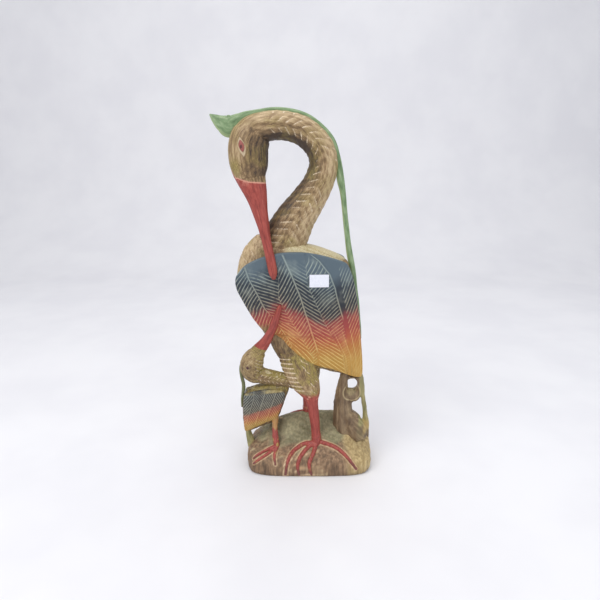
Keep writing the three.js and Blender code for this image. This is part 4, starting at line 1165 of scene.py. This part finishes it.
def crane_mound():
    """The mound: gouged upright down its front, across its top, and cut in round every toe."""
    mound = trunk(MOUND_ROWS, 132, 460)
    x, y, z = mound.points.T
    normal = mound.normals()
    front = ramp(0.62, 0.3, normal[:, 2])
    top = 1 - front
    place = mound.points
    upright = np.sin(2 * np.pi * (x + 2.2 * ripple(place, 26, 61)) / 4.6) * np.where(np.abs(y) > 20, 1, 0.4)
    level = np.sin(2 * np.pi * (y + 0.35 * x + 2.5 * ripple(place, 30, 62)) / 5.2)
    gouge = front * upright * 0.32 + top * level * 0.26
    gouge = gouge * ramp(-0.9, 0.7, ripple(place, 18, 63))
    gouge = gouge + 0.5 * ripple(place, 24, 64) + 0.22 * ripple(place, 7, 65)
    cut = 0 * x
    for plan in FEET.values():
        cut = np.maximum(cut, outline_cuts(place, plan, TOE_WIDTH))
    for plan in CHICK_FEET.values():
        cut = np.maximum(cut, 0.9 * outline_cuts(place, plan, CHICK_TOE_WIDTH))
    flat_base = ramp(0, 3, z)
    mound.carve((gouge - 0.9 * cut) * flat_base)
    sunny = ramp(26, 60, x) * ramp(50, 30, z) + 0.5 * ramp(20, 50, x) * ramp(20, 34, z) * ramp(50, 40, z)
    scrape = ramp(0.5, 1.0, gouge + 0.3 * front) * 0.6
    # Painted shadow on the top under the chick; the dark mark also darkens the foot of the mound and the
    # hollows of the gouges.
    painted_chick_shadow = hill(np.hypot(x + 36, (y - 2) * 0.8), 16) * top
    dark = painted_chick_shadow + 0.5 * ramp(6, 1, z) + 0.4 * ramp(0.3, -0.7, gouge)
    front_share = ramp(39, 17, z + 3.5 * ripple(place, 20, 66))
    return mound.mark(pale=0.9 * cut, front=front_share, sunny=sunny, scrape=scrape, dark=np.clip(dark, 0, 1))


# ---- the stump -----------------------------------------------------------------------------------
STUMP_WIDTH, STUMP_DEPTH = 23.0, 24.0
STUMP_ROWS = [
    [41, 0, 34, 1.16, 1.1], [39.5, 0, 46, 1.06, 1.02], [38.6, 0, 58, 0.93, 0.94], [38.2, 0, 70, 0.86, 0.86],
    [37.2, 0, 82, 0.66, 0.78], [37.6, 0, 93, 0.46, 0.68], [40, 0, 108, 0.34, 0.56],
]
ROOT_ROWS = [
    [41, -1, 56, 0.8, 0.85], [47.5, -3, 49.5, 0.95, 0.9], [52.5, -5, 40.5, 1.02, 0.95],
    [55.5, -6, 29, 0.98, 0.95],
]
TWIG_ROWS = [
    [57.2, 0, 105, 0.2, 0.4], [59.2, 0, 89, 0.24, 0.4], [61.2, 0, 75, 0.22, 0.36], [63.3, 0, 62, 0.23, 0.34],
    [64.8, 0, 50, 0.27, 0.36], [65.2, 0, 38, 0.36, 0.42], [64.6, 0, 27, 0.4, 0.46],
]
KNOT = (47.2, 93.5)
KNOT_HOLE = 13.4
KNOT_WALLS = [5, 3.4, 8, 15.5]  # at the right, top, left and bottom
KNOT_DEPTHS = [12, 9, 14, 17]
BEVEL = (47.2, 85.5, 9.6)  # the middle and radius of the cut below the knot hole


def knot_ring():
    """A ring round the knot hole: an ellipse carried round a circle, whose wall and depth change
    smoothly from right to top to left to bottom."""
    count, sides = 96, 32
    turns = np.arange(count) / count
    quarter = np.floor(turns * 4).astype(int)
    share = (1 - np.cos(np.pi * (turns * 4 - quarter))) / 2
    sizes = np.array([KNOT_WALLS, KNOT_DEPTHS])
    wall, depth = (sizes[:, quarter] * (1 - share) + sizes[:, (quarter + 1) % 4] * share) / 2
    angle = 2 * np.pi * turns
    outward = np.stack([np.cos(angle), 0 * angle, np.sin(angle)], axis=-1)
    middle = np.array([KNOT[0], 0, KNOT[1]]) + outward * (KNOT_HOLE / 2 + wall)[:, None]
    turn = np.arange(sides) * 2 * np.pi / sides
    rings = middle[:, None] + outward[:, None] * (wall[:, None] * np.cos(turn))[..., None]
    rings[..., 1] = depth[:, None] * np.sin(turn)
    index = np.arange(count * sides).reshape(count, sides)
    down, round_ = np.roll(index, -1, axis=0), np.roll(index, -1, axis=1)
    both = np.roll(down, -1, axis=1)
    quads = np.stack([index, round_, both, down], axis=-1).reshape(-1, 4)
    return Skin(rings.reshape(-1, 3), quads, np.empty((0, 3), int)).face_outwards()


def driftwood():
    """The stump, its root, its twig and its knot skinned as one, gouged down the grain, with a round
    bevel cut below the knot hole."""
    parts = [
        limb(STUMP_ROWS, STUMP_WIDTH, STUMP_DEPTH, 60, 48),
        limb(ROOT_ROWS, STUMP_WIDTH, STUMP_DEPTH, 40, 40, domes=(2, 2)),
        limb(TWIG_ROWS, STUMP_WIDTH, STUMP_DEPTH, 60, 28, domes=(1, 2)),
        knot_ring(),
    ]
    made = fused(parts, 0.7, 10)
    x, y, z = made.points.T
    from_bevel = np.hypot(x - BEVEL[0], z - BEVEL[1])
    below = ramp(KNOT[1] + 1, KNOT[1] - 2, z)
    bevel = ramp(BEVEL[2], BEVEL[2] - 6, from_bevel) * below
    on_face = ramp(0.2, 0.5, np.abs(made.normals()[:, 1]))
    made.points[:, 1] -= np.sign(y) * bevel * 3.5 * on_face
    wander = ripple(made.points * [1, 1, 0.3], 9, 71)
    around = np.arctan2(y, x - 39) * 9
    gouge = np.sin(2 * np.pi * (around + 1.2 * wander + 0.1 * z) / 4.4) * (1 - bevel)
    made.carve(0.3 * gouge + 0.35 * wander + 0.15 * ripple(made.points, 5, 72))
    rim = hill(from_bevel - BEVEL[2], 1.1) * below
    twig = ramp(54.5, 57, x) * ramp(44, 56, z)
    in_root = (x + 0.6 * (60 - z) > 52) & (z < 56)
    slanted = np.stack([0.73 * x + 0.68 * z, y, (0.68 * x - 0.73 * z) / 6], axis=-1)
    return made.mark(
        grain=np.where(in_root[:, None], slanted, made.points * [1, 1, 0.16]),
        cream=np.clip(0.8 * rim + 0.15 * bevel, 0, 1),
        olive=np.clip(twig + 0.5 * bevel + 0.45 * ramp(46, 54, x) * ramp(60, 50, z), 0, 1),
        yellow=0.7 * ramp(55, 44, z) * ramp(59, 62, x) * ramp(34, 42, z) * (y < 4),
    )


# ---- the chick -----------------------------------------------------------------------------------
CHICK_BODY_ROWS = [
    [96.5, -38, -27, 4], [93.5, -57, -22.5, 7], [89.5, -64.5, -22.5, 9], [84.5, -71, -24, 10],
    [78, -74, -26.3, 10], [68, -74.9, -29.5, 10], [58, -74.8, -33, 9.5], [50.5, -74.6, -38, 8.5],
    [44.5, -74, -52, 7], [39, -73.2, -64, 4.5],
]
CHICK_NECK_ROWS = [
    [-13, -4.5, 95.4, 0.8, 0.9], [-24, -5, 98.8, 0.84, 0.9], [-38, -6.2, 102.4, 0.92, 1],
    [-48, -7, 104.8, 0.97, 1], [-56, -7.6, 107.6, 1.04, 1.03],
]
CHICK_HEAD_ROWS = [
    [-53, -7.4, 106.4, 0.6, 0.66], [-58.4, -7.8, 108, 0.82, 0.85], [-62.2, -8.5, 112.6, 0.95, 0.97],
    [-62.8, -9.6, 120, 0.96, 1], [-59.9, -11, 128.2, 0.86, 0.92], [-54.8, -12.2, 136, 0.6, 0.68],
]
CHICK_BEAK_ROWS = [
    [-56.4, -11.9, 135.4, 1.22, 0.98], [-50, -14.4, 144, 1.02, 0.88], [-45.2, -17, 151.5, 0.84, 0.76],
    [-40, -20.6, 162, 0.68, 0.66], [-35.6, -24.4, 174.6, 0.56, 0.56], [-32, -27, 186, 0.44, 0.48],
    [-30.9, -27.6, 191, 0.2, 0.24],
]
CHICK_PLUME_ROWS = [
    [-73.4, -9.2, 123.5, 0.4, 0.6], [-75, -9, 115, 0.62, 0.9], [-74.4, -8.2, 105.5, 0.66, 0.95],
    [-72.8, -7.2, 96.5, 0.66, 0.9], [-73, -6, 88.5, 0.72, 0.9], [-75, -5, 78, 0.5, 0.8],
    [-75.6, -4.4, 67, 0.35, 0.6],
]
CHICK_LEGS = {
    "near": [
        [-38.4, -8.5, 57, 1.2, 1.2], [-38.4, -13, 46.5, 0.85, 0.85], [-38.1, -16.6, 39.5, 0.95, 0.95],
        [-37.4, -18.9, 34.5, 1, 1],
    ],
    "far": [[-40, 1, 57, 1.2, 1.2], [-41.2, 5, 48, 0.85, 0.85], [-42.2, 9, 43.6, 0.95, 0.95]],
}
POST_ROWS = [
    [-70.4, -4, 46, 0.7, 0.8], [-69.4, -4, 36, 0.85, 0.9], [-67.6, -4, 28, 1.1, 1.05],
    [-65.4, -4, 18, 1.3, 1.2],
]
CHICK_NECK_WIDTH, CHICK_NECK_DEPTH = 18.5, 15.0
CHICK_HEAD_WIDTH, CHICK_HEAD_DEPTH = 26.5, 19.0
CHICK_BEAK_WIDTH, SHANK_WIDTH, POST_WIDTH = 12.5, 7.0, 7.5
CHICK_EYE = (-66.5, 119.5)
CHICK_BEAK_EDGE = 125.1


def past_chick_edge(x, z):
    """How far a point is up past the slanting edge where the paint of the chick's beak begins."""
    return z + 0.31 * x - CHICK_BEAK_EDGE


def chick_body():
    """The chick's body: a strip of olive and cream along its back, above the wing."""
    body = trunk(even_slices(CHICK_BODY_ROWS, CHICK_MIDDLE), 110, 150, CHICK_MIDDLE, chick_seat)
    x, _, z = body.points.T
    level = chick_back_level(x, z)
    strip = ramp(86, 89, level)
    line = hill(level - 92.0, 0.7)
    body.carve(0.2 * ripple(body.points, 7, 81) - 0.5 * line * strip)
    # Painted shade: the chick's body is darkened all over.
    return body.mark(
        grain=body.points * [1, 1, 0.3], olive=strip * 0.9, cream=0.55 * strip * line, painted_light=-0.6 + 0 * x
    )


def chick_neck():
    """The chick's neck: small scales down its sides, and a top painted yellower and paler as a painted
    highlight, flecked with cream.
    """
    neck = grain_of(limb(CHICK_NECK_ROWS, CHICK_NECK_WIDTH, CHICK_NECK_DEPTH, 90, 84), 3.0)
    across = side_lean(neck.turn) * 8.3
    scales = chevrons(neck.along, across, 4.6, 0.9, 0.3, 5.6, 91)
    scales = scales + chevrons(neck.along + 2, across, 4.6, 0.2, 6.0, 12.5, 92)
    neck.carve(0.2 * ripple(neck.points, 6, 93) - 0.65 * scales)
    # The upper side gets a painted highlight: more olive, paler, and flecked with cream.
    upper = ramp(1, 8, neck.points[:, 2] - np.interp(neck.points[:, 0], [-56, -13], [106, 94]))
    worn = ramp(0, 0.8, ripple(neck.points, 6, 94))
    return neck.mark(cut=scales * 0.9, olive=1.3 * upper, painted_light=1.2 * upper - 0.4, cream=0.7 * upper * worn)


def chick_head():
    """The chick's head, with a small dark eye in a pale ring, and a rough crown at the neck."""
    head = grain_of(limb(CHICK_HEAD_ROWS, CHICK_HEAD_WIDTH, CHICK_HEAD_DEPTH, 110, 96), 3.0)
    x, _, z = head.points.T
    from_eye = np.hypot(x - CHICK_EYE[0], (z - CHICK_EYE[1]) * 0.8)
    facing = np.abs(np.sin(head.turn)) > 0.45
    ball = np.sqrt(np.clip(1 - (from_eye / 1.6) ** 2, 0, 1)) * facing
    ring = hill(from_eye - 2.4, 1.1) * facing
    ticks = hill(((z + 0.6 * x) / 4.2) % 1 - 0.5, 0.2) * ramp(-62, -56, x) * ramp(133, 126, z)
    head.carve(0.2 * ripple(head.points, 6, 95) + 0.9 * ball - 0.5 * ring - 0.5 * ticks)
    # Painted light and shade: the top of the head is paler, the lower part a little darker.
    return head.mark(
        eye_rim=0.5 * ring, pupil=0.8 * ramp(1.9, 1.2, from_eye) * facing, cut=0.8 * ticks,
        olive=0.7 * ramp(-62, -54, x) + 0.25, painted_light=-0.2 + 0.6 * ramp(116, 128, z),
        coral=ramp(-0.7, 0.7, past_chick_edge(x, z)),
    )


def chick_beak():
    """The chick's beak, painted as far as its edge."""
    made = beak(CHICK_BEAK_ROWS, CHICK_BEAK_WIDTH, CHICK_BEAK_WIDTH, 120, 56, 0.1, 99)
    x, _, z = made.points.T
    painted = ramp(-0.7, 0.7, past_chick_edge(x, z))
    return made.mark(coral=painted, pink=made.marks["pink"] * painted, olive=0.5 * (1 - painted))


def chick_leg(rows):
    """A coral shank, worn to ochre where it leaves the body."""
    leg = grain_of(limb(rows, SHANK_WIDTH, SHANK_WIDTH, 60, 36), 3.0)
    z = leg.points[:, 2]
    leg.carve(0.15 * ripple(leg.points, 4, 96))
    upper = ramp(43, 47, z + ripple(leg.points, 5, 97))
    return leg.mark(pale=0.3 * upper, ochre=0.75 * upper)


def chick_post():
    """The post that holds up the chick's tail."""
    post = grain_of(limb(POST_ROWS, POST_WIDTH, POST_WIDTH, 50, 36), 3.0)
    post.carve(0.25 * ripple(post.points * [1, 1, 0.3], 5, 98))
    return post.mark(olive=0.8 + 0 * post.along)


# ---- the pieces ----------------------------------------------------------------------------------
piece("crane_body", [crane_body()], WOOD, "stained_wood", "mother_body", "neck_dowel")
piece(
    "crane_neck_and_head", [neck_and_head()], WOOD, "stained_wood", "mother_neck", "mother_head", "head_dowel"
)
piece("crane_beak", [crane_beak()], WOOD, "coral_paint", "mother_beak", "beak_dowel")
crest = plume(CREST_ROWS + neck_back() + STRAND_ROWS, 620, 32, dull=0, seed=22)
piece("crane_plume", [crest], GREEN, "green_paint", "mother_plume")
for name, side in (("near", NEAR), ("far", FAR)):
    piece(f"crane_wing_{name}", [crane_wing(side)], FEATHER, "wing_paint", f"mother_wing_{name}")
    piece(f"chick_wing_{name}_carved", [chick_wing(side)], FEATHER, "wing_paint", f"chick_wing_{name}")
    rows = NEAR_LEG if side == NEAR else FAR_LEG
    piece(f"crane_leg_{name}", [crane_leg(rows, 100 + side)], WOOD, "leg_paint", f"mother_leg_{name}")
    sole = foot(FEET[name], (THIGH_WIDTH, THIGH_DEPTH), TOE_WIDTH, 0.55, 0.5)
    piece(f"crane_foot_{name}", [sole], CORAL, "coral_paint", f"mother_foot_{name}")
    shank = chick_leg(CHICK_LEGS[name])
    piece(f"chick_leg_{name}_carved", [shank], CORAL, "coral_paint", f"chick_leg_{name}")
    sole = foot(CHICK_FEET[name], (SHANK_WIDTH, SHANK_WIDTH), CHICK_TOE_WIDTH, 0.9, 0.4)
    piece(f"chick_foot_{name}_carved", [sole], CORAL, "coral_paint", f"chick_foot_{name}")
piece("rock_mound", [crane_mound()], MOUND, "mound_wood", "mound")
piece("driftwood_stump", [driftwood()], STUMP, "stump_wood", "stump", "stump_dowel")
piece("chick_body_carved", [chick_body()], WOOD, "stained_wood", "chick_body")
piece("chick_neck_carved", [chick_neck()], WOOD, "stained_wood", "chick_neck", "chick_dowel")
piece("chick_head_carved", [chick_head()], WOOD, "stained_wood", "chick_head")
piece("chick_beak_carved", [chick_beak()], WOOD, "coral_paint", "chick_beak")
tuft = plume(CHICK_PLUME_ROWS, 160, 26, dull=0.9, seed=23)
piece("chick_plume_carved", [tuft], GREEN, "green_paint", "chick_plume")
piece("chick_tail_post_carved", [chick_post()], STUMP, "stained_wood", "chick_tail_post")
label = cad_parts["price_label"]
label.data.materials.clear()
label.data.materials.append(PAPER)


# ---- the studio ----------------------------------------------------------------------------------
def studio():
    """A pale floor that curves up into a backdrop: a straight run, a quarter round and a rise,
    carried sideways."""
    turn = np.linspace(0, np.pi / 2, 24)
    run = np.concatenate([[-1.6], 0.9 + 0.5 * np.sin(turn), [1.4]])
    rise = np.concatenate([[0.0], 0.5 - 0.5 * np.cos(turn), [2.4]])
    x = np.array([-2.6, 2.6])
    points = np.stack(np.broadcast_arrays(x[None], run[:, None], rise[:, None]), axis=-1).reshape(-1, 3)
    first = 2 * np.arange(len(run) - 1)[:, None]
    quads = first + np.array([0, 1, 3, 2])
    mesh = bpy.data.meshes.new("backdrop")
    mesh.from_pydata(points.tolist(), [], quads.tolist())
    mesh.shade_smooth()
    sheet = bpy.data.objects.new("backdrop", mesh)
    bpy.context.scene.collection.objects.link(sheet)
    finish = Finish("backdrop_cloth", Roughness=0.9)
    weave = finish.noise(finish.place, 6.0, 3.0)
    colour = finish.mix(weave.between(0.3, 0.7), tint(234, 233, 236), tint(240, 239, 241))
    mesh.materials.append(finish.close(colour, 0.85 + 0.1 * weave, weave, 0.0002))


def lamp(name, place, aim, size, power, colour):
    """A square soft lamp, turned so that it shines from its place at its aim."""
    light = bpy.data.lights.new(name, "AREA")
    light.size, light.energy, light.color = size, power, colour
    made = bpy.data.objects.new(name, light)
    made.location = place
    heading = np.array(aim) - np.array(place)
    made.rotation_euler = (
        math.atan2(np.hypot(heading[0], heading[1]), -heading[2]),
        0,
        math.atan2(heading[1], heading[0]) - math.pi / 2,
    )
    bpy.context.scene.collection.objects.link(made)


studio()
lamp("window_left", (-0.9, -1.0, 1.3), (0, 0, 0.2), 1.2, 14, (1.0, 0.99, 0.97))
lamp("fill_right", (1.1, -0.9, 0.8), (0, 0, 0.2), 1.4, 5.3, (0.96, 0.98, 1.0))
lamp("overhead", (0.1, 0.1, 1.6), (0, 0, 0), 1.4, 10.5, (1.0, 1.0, 1.0))
world = bpy.data.worlds.new("studio")
bpy.context.scene.world = world
world.use_nodes = True
sky = world.node_tree.nodes["Background"].inputs
sky["Color"].default_value = (0.9, 0.93, 1.0, 1.0)
sky["Strength"].default_value = 0.485
bpy.context.scene.view_settings.view_transform = "Standard"

TILT_DOWN = 15.2
camera = bpy.data.objects.new("camera", bpy.data.cameras.new("camera"))
camera.data.lens = 30.0
camera.data.sensor_width = 36.0
camera.location = (-0.0103, -0.517, 0.3305)
camera.rotation_euler = (math.radians(90 - TILT_DOWN), 0, 0)
bpy.context.scene.collection.objects.link(camera)
bpy.context.scene.camera = camera
